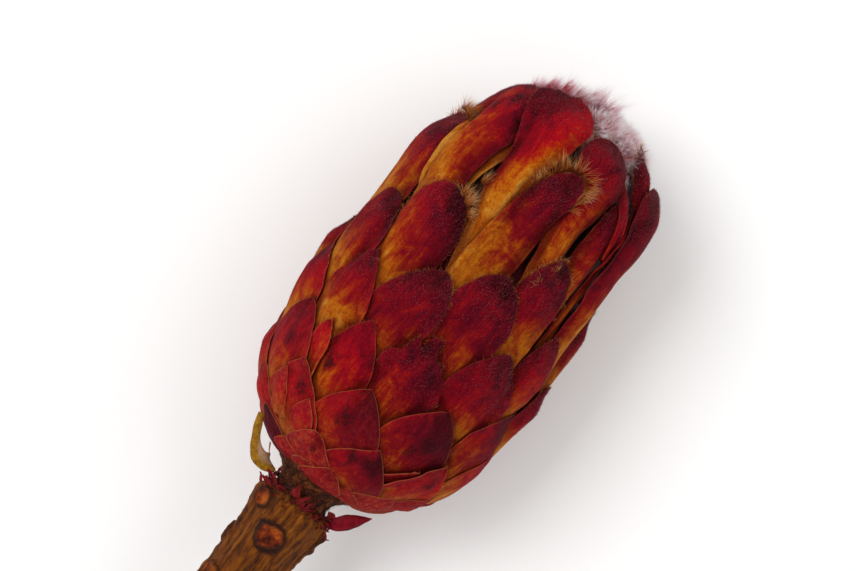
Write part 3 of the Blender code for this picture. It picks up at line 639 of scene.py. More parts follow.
# Colour stops of the bracts: by ripeness for a dark and a bright red, then coral, dark grain and scabs.
bractColors = {
    "dark": ((0.0, "#3a020e"), (0.22, "#580216"), (0.44, "#740416"), (0.56, "#80140c"), (0.7, "#943808"),
             (0.86, "#b26208"), (1.0, "#c68026")),
    "bright": ((0.0, "#8e0016"), (0.25, "#ac0418"), (0.45, "#b80814"), (0.58, "#bc280a"), (0.72, "#be4e06"),
               (0.86, "#c66c0a"), (1.0, "#ce8a30")),
    "coral": ((0.34, "#700818"), (0.46, "#96161c"), (0.58, "#ac3c24"), (0.7, "#b4603a")),
    "grain": ((0.36, 0.42), (0.5, 0.84), (0.6, 1.0)),
    "scab": ((0.4, "#20060c"), (0.6, "#3a0a12"), (0.74, "#6a4448")),
    # the first is the colour of the painted shade in hollows, multiplied in; dirt, down and the rim are the
    # bract's own
    "hollow": "#7a1e16", "dirt": "#38130c", "down": "#9c3844", "rim": "#b06a3a",
}
# Their patterns: where each is read, how many to the millimetre, detail, roughness and distortion.
bractPatterns = {
    "streak": ("along", 1.3, 7.0, 0.7, 0.5), "blotch": ("askew", 0.22, 5.0, 0.6, 0.8),
    "mottle": ("askew", 0.9, 8.0, 0.7, 0.6), "fleck": ("askew", 2.4, 5.0, 0.8, 0.0),
    "dirt": ("spot", 2.2, 5.0, 0.85, 0.0), "down": ("askew", 3.4, 5.0, 0.8, 0.0),
    "fine": ("along", 4.5, 5.0, 0.65, 0.0),
}
# How much each pattern stirs ripeness, glow and relief, what is taken off again, and how strongly the painted
# shade in hollows, patches, dirt, down and the rim show. A ramp says from which value of its pattern on.
bractMix = {
    "ripe": {"streak": 0.5, "blotch": 0.9, "mottle": 0.5}, "ripeLess": 0.95,
    "glow": {"blotch": 0.9, "streak": 0.5}, "glowLess": 0.7,
    "relief": {"fine": 0.7, "down": 0.35}, "sunkenPatch": -0.8, "bumpHeight": 0.34 * mm,
    "coral": 0.75, "grain": 0.8, "hollow": 0.8, "hollowMottle": 0.8, "patchMottle": 5.0, "patchLess": 2.8,
    "patchRamp": ((0.1, 0.0), (0.6, 0.75), (0.9, 0.9)), "dirtRamp": ((0.6, 0.0), (0.7, 0.7)),
    "downRamp": ((0.52, 0.0), (0.68, 1.0)), "downReach": 2.4, "downAtEdge": 0.5, "downInside": 0.14,
    "rimFrom": 0.05, "rimTo": 0.3, "rim": 0.9, "roughness": (0.5, 0.85),
}


def bractMaterial():
    # dried protea bract: leathery, matt and downy, maroon at the tip through red and orange to ochre
    material, shader, add = newMaterial("dried protea bract", {
        "IOR": 1.45, "Specular IOR Level": 0.04, "Sheen Weight": 0.02, "Sheen Roughness": 0.35,
        "Sheen Tint": linearColor("#d08098")})
    spot, tone, wear = (
        add("ShaderNodeAttribute", output="Vector", attribute_name=key)
        for key in ("leafPlace", "tone", "wear"))
    shade = add("ShaderNodeAttribute", output="Fac", attribute_name="shade")
    ripeness, glow, coral = (add("ShaderNodeSeparateXYZ", {0: tone}, k) for k in "XYZ")
    margin, paleEdge, bruise = (add("ShaderNodeSeparateXYZ", {0: wear}, k) for k in "XYZ")
    spots = {
        "spot": spot,
        "along": add("ShaderNodeMapping", {"Vector": spot, "Scale": (1.0, 0.1, 1.0)}),
        "askew": add("ShaderNodeMapping", {
            "Vector": spot, "Rotation": (0.0, 0.0, 0.7), "Scale": (1.15, 0.85, 1.0)}),
    }
    patterns = {
        key: add("ShaderNodeTexNoise", {"Vector": spots[where], "Scale": scale, "Detail": detail,
                                        "Roughness": roughness, "Distortion": distortion})
        for key, (where, scale, detail, roughness, distortion) in bractPatterns.items()}
    mottle, mix = patterns["mottle"], bractMix

    # how ripe and how bright each place is, the patterns blurring what its bract says
    stirred = {"ripe": ripeness, "glow": glow, "relief": mottle}
    for goal in stirred:
        for key, amount in mix[goal].items():
            stirred[goal] = add("ShaderNodeMath", {0: patterns[key], 1: amount, 2: stirred[goal]},
                                operation="MULTIPLY_ADD")
    ripe, glowing = (
        add("ShaderNodeMath", {0: stirred[key], 1: mix[key + "Less"]}, operation="SUBTRACT", use_clamp=True)
        for key in ("ripe", "glow"))
    dark, bright, coralTone, grain, scab = (
        add("ShaderNodeValToRGB", {"Fac": source}, stops=bractColors[key])
        for key, source in (
            ("dark", ripe), ("bright", ripe), ("coral", mottle), ("grain", patterns["fleck"]),
            ("scab", patterns["fleck"])))
    dull = add("ShaderNodeMath", {0: coral, 1: mix["coral"]}, operation="MULTIPLY", use_clamp=True)

    # painted shade in the hollows, weathered patches, dirt, pale down and the thin pale edge
    paintedShade = add("ShaderNodeMath", {0: mottle, 1: mix["hollowMottle"], 2: shade}, operation="MULTIPLY_ADD")
    paintedShade = add("ShaderNodeMath", {0: paintedShade, 1: shade}, operation="MULTIPLY", use_clamp=True)
    paintedShade = add("ShaderNodeMath", {0: paintedShade, 1: mix["hollow"]}, operation="MULTIPLY")
    patch = add("ShaderNodeMath", {0: mottle, 1: mix["patchMottle"], 2: bruise}, operation="MULTIPLY_ADD")
    patch = add("ShaderNodeMath", {0: patch, 1: mix["patchLess"]}, operation="SUBTRACT")
    patch = add("ShaderNodeMath", {0: patch, 1: bruise}, operation="MULTIPLY")
    patch, soiled, downy = (
        add("ShaderNodeValToRGB", {"Fac": source}, stops=mix[key])
        for key, source in (
            ("patchRamp", patch), ("dirtRamp", patterns["dirt"]), ("downRamp", patterns["down"])))
    nearEdge = add("ShaderNodeMapRange", {
        "Value": margin, 1: 0.0, 2: mix["downReach"], 3: mix["downAtEdge"], 4: mix["downInside"]})
    downy = add("ShaderNodeMath", {0: downy, 1: nearEdge}, operation="MULTIPLY")
    rim = add("ShaderNodeMapRange", {
        "Value": margin, 1: mix["rimFrom"], 2: mix["rimTo"], 3: mix["rim"], 4: 0.0})
    for share in (paleEdge, patterns["streak"]):
        rim = add("ShaderNodeMath", {0: rim, 1: share}, operation="MULTIPLY")
    color = dark
    for share, tint, blend in (
        (glowing, bright, "MIX"), (dull, coralTone, "MIX"), (mix["grain"], grain, "MULTIPLY"),
        (paintedShade, bractColors["hollow"], "MULTIPLY"), (patch, scab, "MIX"),
        (soiled, bractColors["dirt"], "MIX"), (downy, bractColors["down"], "MIX"),
        (rim, bractColors["rim"], "MIX"),
    ):
        color = add("ShaderNodeMix", {0: share, 6: color, 7: tint}, 2, data_type="RGBA", blend_type=blend)

    rough = add("ShaderNodeMapRange", {"Value": mottle, 3: mix["roughness"][0], 4: mix["roughness"][1]})
    height = add("ShaderNodeMath", {0: patch, 1: mix["sunkenPatch"], 2: stirred["relief"]},
                 operation="MULTIPLY_ADD")
    bump = add("ShaderNodeBump", {"Height": height, "Strength": 0.9, "Distance": mix["bumpHeight"]})
    feedShader(shader, {"Base Color": color, "Roughness": rough, "Normal": bump})
    return material


(scaleBracts, longBracts), grids = makeBracts(bractMaterial())
print("bracts ready:", len(grids))


# Hair: one tree grows it on any surface that carries hairAmount, hairDirection and hairLength

hairRule = {"kinkSeed": 7, "shadeSeed": 9, "lengthSeed": 3, "shortest": 0.5, "swirlBend": (3.0, 3.0, 3.0)}


def hairTree(name, sizes, material):
    # spikes of three sides, each aimed, strewn, clumped and bent a little differently
    tree, add, given = newTree(name, sizes)
    amount, reach = (
        add("GeometryNodeInputNamedAttribute", {"Name": key}, "Attribute", data_type="FLOAT")
        for key in ("hairAmount", "hairLength"))
    aim = add("GeometryNodeInputNamedAttribute", {"Name": "hairDirection"}, "Attribute",
              data_type="FLOAT_VECTOR")
    amount = add("ShaderNodeMath", {0: given["density"], 1: amount}, operation="MULTIPLY")
    roots = add("GeometryNodeDistributePointsOnFaces", {
        "Mesh": given["Geometry"], "Density": amount, "Seed": given["seed"]})
    stray, kink = (
        add("FunctionNodeRandomValue", {0: (-1, -1, -1), 1: (1, 1, 1), "Seed": seed},
            data_type="FLOAT_VECTOR") for seed in (given["seed"], hairRule["kinkSeed"]))
    where = add("GeometryNodeInputPosition")
    fineness = add("ShaderNodeMath", {0: 1.0, 1: given["clumpSize"]}, operation="DIVIDE")
    swirl = add("ShaderNodeTexNoise", {"Vector": where, "Scale": fineness, "Detail": 1.0}, "Color")
    swirl = add("ShaderNodeVectorMath", {0: swirl, 1: (0.5, 0.5, 0.5)}, operation="SUBTRACT")
    stray = add("ShaderNodeVectorMath", {0: stray, "Scale": given["spread"]}, operation="SCALE")
    clumped = add("ShaderNodeVectorMath", {0: swirl, "Scale": given["clumping"]}, operation="SCALE")
    aim = add("ShaderNodeVectorMath", {0: aim, 1: stray}, operation="ADD")
    aim = add("ShaderNodeVectorMath", {0: aim, 1: clumped}, operation="ADD")
    bend = add("ShaderNodeVectorMath", {0: swirl, 1: hairRule["swirlBend"], 2: kink},
               operation="MULTIPLY_ADD")
    bend = add("ShaderNodeVectorMath", {0: bend, "Scale": given["bend"]}, operation="SCALE")
    roots = add("GeometryNodeStoreNamedAttribute", {"Geometry": roots, "Name": "hairBend", "Value": bend},
                data_type="FLOAT_VECTOR")
    shade, uneven = (
        add("FunctionNodeRandomValue", {2: least, 3: 1.0, "Seed": hairRule[seed]}, 1, data_type="FLOAT")
        for least, seed in ((0.0, "shadeSeed"), (hairRule["shortest"], "lengthSeed")))
    roots = add("GeometryNodeStoreNamedAttribute", {"Geometry": roots, "Name": "hairShade", "Value": shade},
                data_type="FLOAT")
    spike = add("GeometryNodeMeshCone", {
        "Vertices": 3, "Side Segments": given["segments"], "Fill Segments": 1, "Radius Top": 0.0,
        "Radius Bottom": given["rootWidth"], "Depth": 1.0})
    spike = add("GeometryNodeStoreNamedAttribute", {
        "Geometry": spike, "Name": "hairShare", "Value": add("ShaderNodeSeparateXYZ", {0: where}, "Z")},
        data_type="FLOAT")
    reach = add("ShaderNodeMath", {0: reach, 1: uneven}, operation="MULTIPLY")
    size = add("ShaderNodeCombineXYZ", {"X": 1.0, "Y": 1.0, "Z": reach})
    turned = add("FunctionNodeAlignRotationToVector", {"Vector": aim}, axis="Z")
    grown = add("GeometryNodeInstanceOnPoints", {
        "Points": roots, "Instance": spike, "Rotation": turned, "Scale": size})
    real = add("GeometryNodeRealizeInstances", {0: grown})
    share = add("GeometryNodeInputNamedAttribute", {"Name": "hairShare"}, "Attribute", data_type="FLOAT")
    curve = add("ShaderNodeMath", {0: share, 1: share}, operation="MULTIPLY")
    bend = add("GeometryNodeInputNamedAttribute", {"Name": "hairBend"}, "Attribute", data_type="FLOAT_VECTOR")
    offset = add("ShaderNodeVectorMath", {0: bend, "Scale": curve}, operation="SCALE")
    bent = add("GeometryNodeSetPosition", {"Geometry": real, "Offset": offset})
    add("NodeGroupOutput", {0: add("GeometryNodeSetMaterial", {"Geometry": bent, "Material": material})})
    return tree


def growHair(name, points, faces, marks, sizes, material):
    scalp = makeObject(name, np.concatenate(points), faces, material,
                       {key: np.concatenate(values) for key, values in marks.items()})
    return applyTree(scalp, hairTree(name, sizes, material), sizes)


# The disc that a tuft grows from, how thickly, and how straight it keeps to its aim.
tuft = {"sides": 10, "amount": 0.8, "straightness": 1.6}


def addTuft(points, faces, marks, middle, aim, radius, length, tint):
    start, sides = sum(map(len, points)), tuft["sides"]
    spin = np.linspace(0, 2 * math.pi, sides, endpoint=False)
    aim = Vector(aim).normalized()
    sideways = aim.orthogonal().normalized()
    ring = np.outer(np.cos(spin), sideways) + np.outer(np.sin(spin), aim.cross(sideways))
    points.append(fromAxis(np.array(middle) + radius * ring))
    faces.append(list(range(start, start + sides)))
    marks["hairDirection"].append(np.tile(tuft["straightness"] * np.array(aim), (sides, 1)))
    for key, value in {"hairAmount": tuft["amount"], "hairLength": mm * length, "hairTint": tint}.items():
        marks[key].append(np.full(sides, value))


def hairMaterial(name, root, middle, tip):
    # fine dry plant hair, matt, and paler towards its tips
    material, shader, add = newMaterial(name, {"Roughness": 0.7, "IOR": 1.45, "Specular IOR Level": 0.2})
    share, shade, tint = (
        add("ShaderNodeAttribute", output="Fac", attribute_name=key)
        for key in ("hairShare", "hairShade", "hairTint"))
    spot = add("ShaderNodeTexCoord", output="Object")
    patch = add("ShaderNodeTexNoise", {"Vector": spot, "Scale": 350.0, "Detail": 3.0})  # about 3 mm across
    where = add("ShaderNodeMath", {0: shade, 1: 0.3, 2: share}, operation="MULTIPLY_ADD")
    where = add("ShaderNodeMath", {0: where, 1: patch}, operation="ADD")
    where = add("ShaderNodeMath", {0: where, 1: tint}, operation="SUBTRACT")
    where = add("ShaderNodeMath", {0: where, 1: 0.65}, operation="SUBTRACT", use_clamp=True)
    color = add("ShaderNodeValToRGB", {"Fac": where}, stops=((0.0, root), (0.35, middle), (0.75, tip)))
    feedShader(shader, {"Base Color": color})
    return material


# The fringe on the rim of each tip.
fringe = {"density": 5.0e7, "rootWidth": 0.05 * mm, "segments": 2, "spread": 0.8, "clumping": 2.4,
          "clumpSize": 1.1 * mm, "bend": 0.45 * mm, "seed": 11}
fringeUsual = {
    "from": 6, "leastWidth": 5.0, "lengths": ((6, 0.35), (20, 0.7), (29, 0.9), (32, 0.9)),
    "down": 7.0, "amount": 0.5, "tint": 0.3, "ragged": 0.35,
    "endAmount": 0.25, "endLength": 0.4,  # the shares of amount and length left where the fringe ends
    "inwardRows": 6, "outward": 0.45, "upward": 0.45,
}
# Hair at the tips of single bracts: length, how far down it grows, amount, and how dark.
fringeHabit = {
    21: (0.8, 12.0, 0.9, 0.3), 26: (0.9, 12.0, 0.9, 0.3), 29: (1.3, 13.0, 1.1, 0.25),
    31: (1.5, 12.0, 1.2, 0.2), 32: (4.0, 2.6, 6.0, 0.2), 34: (5.4, 7.6, 4.4, 0.15),
    36: (0.4, 6.0, 0.3, 0.3), 37: (1.2, 6.0, 0.8, 0.3), 39: (1.6, 7.0, 0.8, 0.2),
    42: (0.7, 14.0, 0.5, 0.3), 44: (2.2, 8.0, 1.6, 0.1),
}
# Golden tufts in the gaps between the long bracts: x, height, z over the axis, direction, length, radius.
goldenTufts = (
    (-20.3, 76.4, 9.0, (-0.05, 1.0, 0.4), 4.2, 0.8), (-10.2, 62.5, 23.0, (0.3, 1.0, 0.5), 3.4, 0.9),
    (-8.8, 61.5, 23.5, (0.5, 1.0, 0.5), 4.4, 0.9), (-8.6, 66.5, 22.0, (0.1, 1.0, 0.3), 4.0, 0.7),
    (-7.4, 60.0, 24.0, (0.8, 0.8, 0.5), 2.6, 0.7), (12.6, 61.5, 21.5, (-0.8, 0.5, 0.4), 2.6, 0.8),
    (11.4, 57.5, 22.5, (-0.9, 0.3, 0.4), 2.4, 0.8),
)
# The short down over the upper tips, apart from those that face far down.
down = {"density": 1.1e7, "rootWidth": 0.03 * mm, "segments": 1, "spread": 0.55, "clumping": 0.8,
        "clumpSize": 1.6 * mm, "bend": 0.05 * mm, "seed": 23}
downReach = {"from": 13, "length": 0.55, "down": 13.0, "fadeFrom": 1.2, "lowest": -0.3, "outward": 0.4}


def makeFringe(material):
    # hair along the rim of each tip, and the golden tufts
    points, faces, marks = [], [], {}
    for grid in grids:
        n = grid["spec"]["order"]
        if n < fringeUsual["from"] or grid["spec"]["width"] < fringeUsual["leastWidth"]:
            continue
        usual = [fringeUsual[key] for key in ("down", "amount", "tint")]
        length, reach, amount, tint = fringeHabit.get(n, (byNumber(n, fringeUsual["lengths"]), *usual))
        fromTip, outer = grid["fromTip"], grid["outer"]
        middle = outer.shape[1] // 2
        count = int(np.searchsorted(fromTip[:, middle], reach)) + 1
        order = [(i, 0) for i in range(count - 1, -1, -1)]  # up one side, over the tip and down the other
        order += [(0, j) for j in range(1, outer.shape[1])]
        order += [(i, -1) for i in range(1, count)]
        rim, under = (np.array([grid[side][k] for k in order]) for side in ("outer", "inner"))
        lower = [min(i + fringeUsual["inwardRows"], len(outer) - 1) for i, _ in order]
        outward = rim - 0.5 * (outer[lower, middle] + outer[[i for i, _ in order], middle])
        outward /= np.linalg.norm(outward, axis=1)[:, None] + 1e-9
        near = np.clip(1 - np.array([fromTip[k] for k in order]) / reach, 0.0, 1.0)
        ragged = 1 + fringeUsual["ragged"] * noiseAt(*(rim.T[:2] / mm), n)
        amounts, lengths = (
            fringeUsual[key] + (1 - fringeUsual[key]) * near for key in ("endAmount", "endLength"))
        lying = outward + (0.0, fringeUsual["upward"], 0.0) + fringeUsual["outward"] * awayFromAxis(rim)
        values = {"hairAmount": amount * amounts, "hairLength": mm * length * lengths * ragged,
                  "hairDirection": lying, "hairTint": np.full(len(order), tint)}
        start, size = sum(map(len, points)), len(order)
        points += [rim, under]
        faces += [[start + k, start + k + 1, start + size + k + 1, start + size + k] for k in range(size - 1)]
        for key, value in values.items():
            marks.setdefault(key, []).extend([value, value])
    for x, height, z, aim, length, radius in goldenTufts:
        addTuft(points, faces, marks, (x, height, z), aim, radius, length, 0.0)
    return growHair("bract_fringe", points, faces, marks, fringe, material)


def makeDown(material):
    # very short hair lying over the tips of the upper bracts
    points, faces, marks = [], [], {}
    for grid in grids:
        facingUp = np.cos(math.radians(grid["spec"]["turn"]))
        if grid["spec"]["order"] < downReach["from"] or facingUp < downReach["lowest"]:
            continue
        count = int(np.searchsorted(grid["fromTip"][:, grid["outer"].shape[1] // 2], downReach["down"]))
        patch = grid["outer"][:count]
        index = sum(map(len, points)) + np.arange(patch[..., 0].size).reshape(patch.shape[:2])
        corners = (index[:-1, :-1], index[1:, :-1], index[1:, 1:], index[:-1, 1:])
        faces += np.stack(corners, -1).reshape(-1, 4).tolist()
        points.append(patch.reshape(-1, 3))
        near = np.clip(downReach["fadeFrom"] - grid["fromTip"][:count] / downReach["down"], 0.0, 1.0).ravel()
        lying = downReach["outward"] * awayFromAxis(points[-1]) + (0.0, 1.0, 0.0)
        values = {"hairAmount": near, "hairLength": np.full(len(near), mm * downReach["length"]),
                  "hairDirection": lying, "hairTint": 0 * near}
        for key, value in values.items():
            marks.setdefault(key, []).append(value)
    return growHair("bract_down", points, faces, marks, down, material)


bractFringe = makeFringe(hairMaterial("ochre bract fringe", "#7c3208", "#b4601e", "#dcaa70"))
bractDown = makeDown(hairMaterial("rosy bract down", "#480c18", "#742430", "#a86468"))


# Florets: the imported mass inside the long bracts, and its crown of soft hair

# What is called solid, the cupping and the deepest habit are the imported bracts' own values.
floret = {
    "foot": 55.4, "shoulder": 88.0, "crown": 92.6, "gap": 0.9, "solidThickness": 0.8, "deepestHabit": 0.7,
    "solidLayerStep": 0.14, "cupping": 0.35, "sides": 72, "rings": 26, "ribs": 24, "ribDepth": 0.012,
    "domeRings": 10, "domeShares": (0.1, 0.98), "paleFrom": 80.0, "paleFull": 90.0,
}
crownHair = {"density": 2.5e7, "rootWidth": 0.045 * mm, "segments": 2, "spread": 0.3, "clumping": 1.3,
             "clumpSize": 2.0 * mm, "bend": 1.1 * mm, "seed": 5}
crownReach = {"length": 2.8, "from": 85.0, "full": 90.0, "tint": 0.02, "rings": 6, "centre": 74.0}
# Locks that stand out of the crown: x, height, z over the axis, direction, length, tint and radius. A lower
# tint is paler.
locks = (
    (-10.8, 88.2, 8.5, (-0.2, 1.0, 0.4), 3.4, 0.22, 1.9), (-8.4, 89.6, 9.5, (0.1, 1.0, 0.4), 4.0, 0.2, 2.2),
    (-5.6, 90.8, 10.0, (0.3, 1.0, 0.35), 4.4, 0.12, 2.2), (-3.2, 91.6, 10.0, (0.3, 1.0, 0.3), 4.8, 0.02, 2.0),
    (-1.2, 92.0, 9.0, (0.15, 1.0, 0.2), 6.0, 0.0, 1.6), (0.6, 92.2, 8.0, (0.1, 1.0, 0.2), 7.2, 0.08, 1.3),
    (2.2, 91.8, 7.5, (0.35, 1.0, 0.2), 7.0, 0.05, 1.2),
    (3.6, 91.6, 8.5, (0.5, 0.8, 0.5), 3.6, -0.05, 1.8), (5.5, 90.6, 8.5, (0.8, 0.6, 0.5), 3.8, -0.15, 1.8),
    (3.6, 88.8, 12.5, (0.5, 0.1, 0.9), 3.6, -0.05, 1.8), (2.6, 86.3, 14.0, (0.2, -0.7, 0.6), 3.4, 0.0, 1.1),
    (7.5, 90.8, 8.0, (1.0, 0.25, 0.5), 4.4, 0.12, 1.4), (9.5, 90.0, 8.0, (1.0, -0.1, 0.5), 4.4, 0.18, 1.3),
    (10.8, 88.0, 9.5, (0.9, -0.6, 0.6), 4.0, 0.05, 1.2),
    (12.6, 85.0, 11.0, (0.5, -1.0, 0.5), 4.0, -0.05, 0.9),
    (13.6, 81.5, 13.0, (0.15, -1.0, 0.4), 3.2, 0.0, 0.7), (-9.8, 86.6, 13.0, (0.2, -0.7, 0.7), 2.8, 0.0, 0.7),
)


def innerRadius(height):
    # as far out as the insides of the long bracts leave room
    along = alongAt(height)
    depth = floret["solidLayerStep"] * (bract["last"] - layerAt(height)) + floret["deepestHabit"]
    depth += floret["cupping"] + floret["solidThickness"] + floret["gap"]
    radius = np.interp(along, outlineAlong, outline[:, 1])
    return radius - depth / np.interp(along, outlineAlong, outlineSlope[:, 0])


def makeFlorets(bodyMaterial, hairLook):
    sides = floret["sides"]
    turns = np.linspace(0, 2 * math.pi, sides, endpoint=False)
    heights = list(np.linspace(floret["foot"], floret["shoulder"], floret["rings"]))
    radii = [float(innerRadius(h)) for h in heights]
    dome, shoulder = floret["crown"] - floret["shoulder"], radii[-1]
    for share in np.linspace(*floret["domeShares"], floret["domeRings"]):
        heights.append(floret["shoulder"] + dome * math.sin(share * math.pi / 2))
        radii.append(shoulder * math.cos(share * math.pi / 2))
    ribs = 1 + floret["ribDepth"] * np.cos(floret["ribs"] * turns)
    rows = [place(np.full(sides, h), r * ribs, turns) for h, r in zip(heights, radii)]
    pale = np.repeat(ease(np.array(heights), floret["paleFrom"], floret["paleFull"]), sides)
    body = makeObject("floret_mass", np.concatenate(rows), turnedFaces(len(rows), sides), bodyMaterial,
                      {"crown": pale})

    scalpRings = floret["domeRings"] + crownReach["rings"]
    scalp = np.concatenate(rows[-scalpRings:])
    faces = turnedFaces(scalpRings, sides)[1:-1]
    direction = scalp - place(crownReach["centre"], 0.0, 0.0)
    direction /= np.linalg.norm(direction, axis=1)[:, None]
    reach = ease(scalp[:, 1] / mm + head["originHeight"], crownReach["from"], crownReach["full"])
    points, marks = [scalp], {
        "hairAmount": [reach], "hairDirection": [direction],
        "hairTint": [np.full(len(scalp), crownReach["tint"])],
        "hairLength": [np.full(len(scalp), mm * crownReach["length"])]}
    for x, height, z, aim, length, tint, radius in locks:
        addTuft(points, faces, marks, (x, height, z), aim, radius, length, tint)
    return body, growHair("floret_hair", points, faces, marks, crownHair, hairLook)


# the low stops are the florets' own brown, darkened into painted shade for the gaps between the bracts
floretColors = {"low": ((0.35, "#120304"), (0.52, "#2e0c06"), (0.7, "#5e280c")),
                "high": ((0.35, "#6a3a46"), (0.6, "#b98a92"))}


def floretMaterial():
    # packed dry florets: dark reddish brown with painted shade, near black low down between the bracts,
    # fading to pinkish white wool at the crown
    material, shader, add = newMaterial("packed dry florets", {"Roughness": 0.85, "IOR": 1.4})
    crown = add("ShaderNodeAttribute", output="Fac", attribute_name="crown")
    spot = add("ShaderNodeTexCoord", output="Object")
    strands = add("ShaderNodeMapping", {"Vector": spot, "Scale": (1.0, 0.08, 1.0)})
    grain = add("ShaderNodeTexNoise", {"Vector": strands, "Scale": 900.0, "Detail": 4.0})  # about 1 mm across
    low, high = (
        add("ShaderNodeValToRGB", {"Fac": grain}, stops=floretColors[key]) for key in ("low", "high"))
    color = add("ShaderNodeMix", {0: crown, 6: low, 7: high}, 2, data_type="RGBA")
    bump = add("ShaderNodeBump", {"Height": grain, "Strength": 0.8, "Distance": 0.5 * mm})
    feedShader(shader, {"Base Color": color, "Normal": bump})
    return material


floretMass, floretHair = makeFlorets(
    floretMaterial(), hairMaterial("soft floret hair", "#cc3048", "#dc9ca8", "#fbf2f2"))
print("florets ready")


# Stem: ridged bark with crusty leaf scars, and the woolly cone under the head

stem = {
    "outline": ((-48.0, 7.3), (-40.0, 7.2), (-32.0, 7.4), (-24.0, 7.1), (-18.0, 7.2), (-13.0, 7.7),
                (-9.0, 8.3), (-7.0, 8.1), (-5.8, 7.2), (-4.8, 6.2)),
    "coneNarrowest": -3.6, "coneRadius": 5.8, "coneFlare": 0.205, "coneHeights": (-3.6, -2.0, -0.5, 0.8, 1.7),
    "sides": 200, "ringStep": 0.26, "lineSteps": 6, "meanRadius": 7.4,
    "ridge": 0.25, "ridgeCount": 7, "ridgeWander": 0.35, "ridgeWanderRate": 0.13,
    "crumble": 0.35, "crumbleRates": (4.0, 0.5), "crumbleShares": (0.7, 1.3),  # on the bark, on the cone
    "barkEnds": (-6.0, -3.0), "woolBegins": (-6.2, -4.4),
    "cutRings": (0.97, 0.9, 0.6, 0.3, 0.06), "cutBevel": 0.25,
}
# Leaf scars, numbered down the stem, the fresh ones orange. Edges are in shares of a scar's radius.
scar = {
    "count": 13, "first": -8.5, "step": 1.5, "stepGrowth": 0.1, "firstTurn": -45.0, "turnStep": 134.4,
    "radii": (2.1, 2.6, 2.4), "ownRadii": {3: 3.0}, "fresh": {0: 0.9, 1: 0.6, 3: 1.0, 5: 0.5, 8: 0.4},
    "usualFresh": 0.15, "flatness": 1.1, "uneven": ((0.22, 0.5), (0.12, 1.6)),
    "rise": 0.8, "riseEdge": (0.75, 1.3), "dish": 0.5, "dishEdge": (0.35, 0.85),
    "crust": 0.5, "crustRate": 0.7, "colorEdge": (0.75, 1.0), "rimWidth": 0.2, "leastRim": 0.3,
    "calmEdge": (0.8, 1.2), "leastRelief": 0.08,
}
barkRelief = {"ribDepth": 0.9 * mm, "ribScale": 1.1, "ribStretch": 0.07, "wrinkleDepth": 0.35 * mm,
              "wrinkleScale": 0.8, "edgeFade": 0.6}


def coneRadius(height):
    return stem["coneRadius"] + stem["coneFlare"] * (height - stem["coneNarrowest"]) ** 2


def scarPlaces():
    for k in range(scar["count"]):
        height = scar["first"] - scar["step"] * k - scar["stepGrowth"] * k**2
        turn = math.radians(scar["firstTurn"] + scar["turnStep"] * k)
        radius = scar["ownRadii"].get(k, scar["radii"][k % len(scar["radii"])])
        yield height, turn, radius, scar["fresh"].get(k, scar["usualFresh"])


def makeStem(material):
    line = [*stem["outline"], *[(h, coneRadius(h)) for h in stem["coneHeights"]]]
    smooth = smoothLine(line, stem["lineSteps"])
    heights = np.arange(smooth[0, 0], smooth[-1, 0] + 0.1, stem["ringStep"])
    turns = np.linspace(0, 2 * math.pi, stem["sides"], endpoint=False)
    h, t = np.meshgrid(heights, turns, indexing="ij")
    radius = np.interp(h, smooth[:, 0], smooth[:, 1])
    bark = 1 - ease(h, *stem["barkEnds"])
    wander = stem["ridgeWander"] * np.sin(h * stem["ridgeWanderRate"])
    radius = radius + stem["ridge"] * bark * np.sin(stem["ridgeCount"] * (t + wander))
    roundRate, alongRate = stem["crumbleRates"]
    onBark, onCone = stem["crumbleShares"]
    crumbs = noiseAt(np.sin(t) * roundRate, np.cos(t) * roundRate, h * alongRate)
    radius = radius - stem["crumble"] * crumbs * (onCone + (onBark - onCone) * bark)

    fresh, rim, calm = np.zeros(h.shape), np.zeros(h.shape), np.ones(h.shape)
    for height, turn, size, freshness in scarPlaces():
        aside = (np.mod(t - turn + math.pi, 2 * math.pi) - math.pi) * stem["meanRadius"]
        above = h - height
        near = np.hypot(aside, above) < 2 * size
        uneven, crust = np.ones(h.shape), np.zeros(h.shape)
        for amount, rate in scar["uneven"]:
            uneven[near] += amount * noiseAt(aside[near] * rate, above[near] * rate, height)
        crust[near] = noiseAt(aside[near] * scar["crustRate"], above[near] * scar["crustRate"], 3.0)
        reach = np.hypot(aside, scar["flatness"] * above) / size * uneven
        radius = radius + scar["rise"] * (1 - ease(reach, *scar["riseEdge"]))
        radius = radius - (1 - ease(reach, *scar["dishEdge"])) * (scar["dish"] - scar["crust"] * crust)
        fresh = np.maximum(fresh, (1 - ease(reach, *scar["colorEdge"])) * freshness)
        ring = np.exp(-((reach - 1.0) / scar["rimWidth"]) ** 2)
        rim = np.maximum(rim, ring * (scar["leastRim"] + (1 - scar["leastRim"]) * freshness))
        calm = np.minimum(calm, scar["leastRelief"] + ease(reach, *scar["calmEdge"]))
    rings = place(h, radius, t)
    cut = place(heights[0] + 0 * turns, radius[0], turns)
    centre = place(heights[0], 0.0, 0.0)
    bevel = (0.0, stem["cutBevel"] * mm, 0.0)
    face = [centre + (cut - centre) * share - bevel for share in stem["cutRings"][::-1]]
    points = np.concatenate([*face, rings.reshape(-1, 3)])
    inner = len(face) * stem["sides"]
    marks = {key: np.concatenate([np.full(inner, onCut), values.ravel()]) for key, onCut, values in (
        ("scar", 0.0, fresh), ("rim", 0.0, rim), ("wool", 0.0, ease(h, *stem["woolBegins"])),
        ("wood", 1.0, 0 * h), ("calm", 0.0, calm))}
    marks["calm"] = np.stack([marks["calm"]] * 3, -1)
    marks["barkPlace"] = points / mm * (1, 1, 1) - (0, 0, head["axisHeight"])
    faces = turnedFaces(len(heights) + len(face), stem["sides"])
    return makeObject("stem_bark", points, faces, material, marks)


